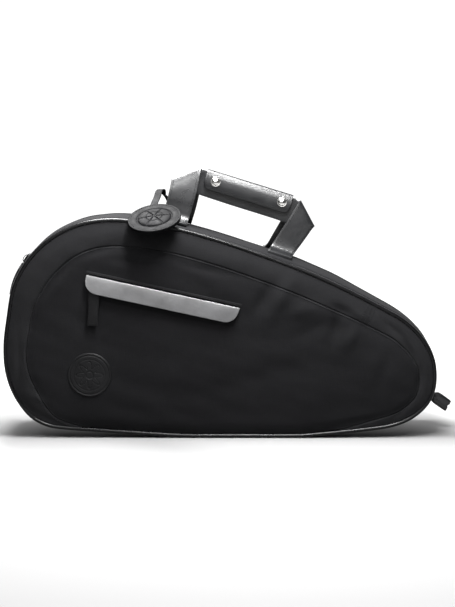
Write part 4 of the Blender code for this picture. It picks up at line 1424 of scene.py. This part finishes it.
# ---------------------------------------------------------------- stage, light and camera
SWEEP_FRONT, SWEEP_BACK, SWEEP_RADIUS, SWEEP_TOP, SWEEP_HALF = -0.92, 1.6, 1.2, 5.0, 6.0
FLOOR_GAP = 0.0003
CAMERA_DISTANCE = 2.0
CAMERA_ELEVATION = 6
LENS = 91.986824


def place(thing, at, target):
    """Put a light or the camera at a point and aim it at another."""
    bpy.context.scene.collection.objects.link(thing)
    thing.location = at
    thing.rotation_euler = (Vector(target) - Vector(at)).to_track_quat("-Z", "Y").to_euler()


def area_light(name, at, target, size, size_y, power):
    light = bpy.data.lights.new(name, "AREA")
    light.shape = "RECTANGLE"
    light.size = size
    light.size_y = size_y
    light.energy = power
    place(bpy.data.objects.new(name, light), at, target)


def build_stage():
    look = Shader("studio_white", (0.18, 0.18, 0.18), 0.9, specular=0.0)
    parts = look.add("ShaderNodeSeparateXYZ")
    look.join(look.coords, parts.inputs[0])
    look.set("Emission Color", (1, 1, 1, 1))
    glow = look.spread(parts.outputs["Y"], -0.05, 0.6, 0.0, 1.0)
    look.join(glow, look.shader.inputs["Emission Strength"])
    profile = [(SWEEP_FRONT, 0.0), (SWEEP_BACK - 1e-3, 0.0)]
    for k in range(13):
        a = math.pi / 2 * k / 12
        profile.append((SWEEP_BACK + SWEEP_RADIUS * math.sin(a), SWEEP_RADIUS * (1 - math.cos(a))))
    profile.append((SWEEP_BACK + SWEEP_RADIUS, SWEEP_TOP))
    rows = [[(x, y, z - FLOOR_GAP) for y, z in profile] for x in (-SWEEP_HALF, SWEEP_HALF)]
    surface("studio_sweep", rows, look.material)
    world = bpy.context.scene.world or bpy.data.worlds.new("studio")
    bpy.context.scene.world = world
    world.use_nodes = True
    background = world.node_tree.nodes["Background"].inputs
    background["Color"].default_value = (1, 1, 1, 1)
    background["Strength"].default_value = 0.05
    area_light("over_front_edge", (-0.08, -0.105, 0.88), (-0.05, -0.09, 0.1), 1.2, 0.16, 70)
    area_light("front_soft", (-0.3, -2.3, 0.75), (0.0, 0.0, 0.2), 1.6, 0.9, 10)
    area_light("back_high", (0.1, 2.0, 1.5), (0.0, 0.0, 0.15), 1.8, 0.6, 9)
    area_light("front_high", (-0.15, -1.3, 1.22), (0.0, 0.0, 0.15), 1.7, 0.24, 22)


def build_camera():
    elevation = math.radians(CAMERA_ELEVATION)
    target = Vector((-0.005, 0, 0.163))
    back, up = CAMERA_DISTANCE * math.cos(elevation), CAMERA_DISTANCE * math.sin(elevation)
    data = bpy.data.cameras.new("camera")
    data.sensor_fit = "VERTICAL"
    data.sensor_height = 36.0
    data.lens = LENS
    data.clip_end = 50
    camera = bpy.data.objects.new("camera", data)
    place(camera, target + Vector((0, -back, up)), target)
    bpy.context.scene.camera = camera
    bpy.context.scene.view_settings.view_transform = "Standard"


build_camera()
build_stage()
build_faces()
build_borders()
build_piping()
build_gusset()
build_pocket()
build_main_slider()
build_straps()
build_grip()
build_patch()
build_toe_loop()
build_tag()
repaint_hidden()
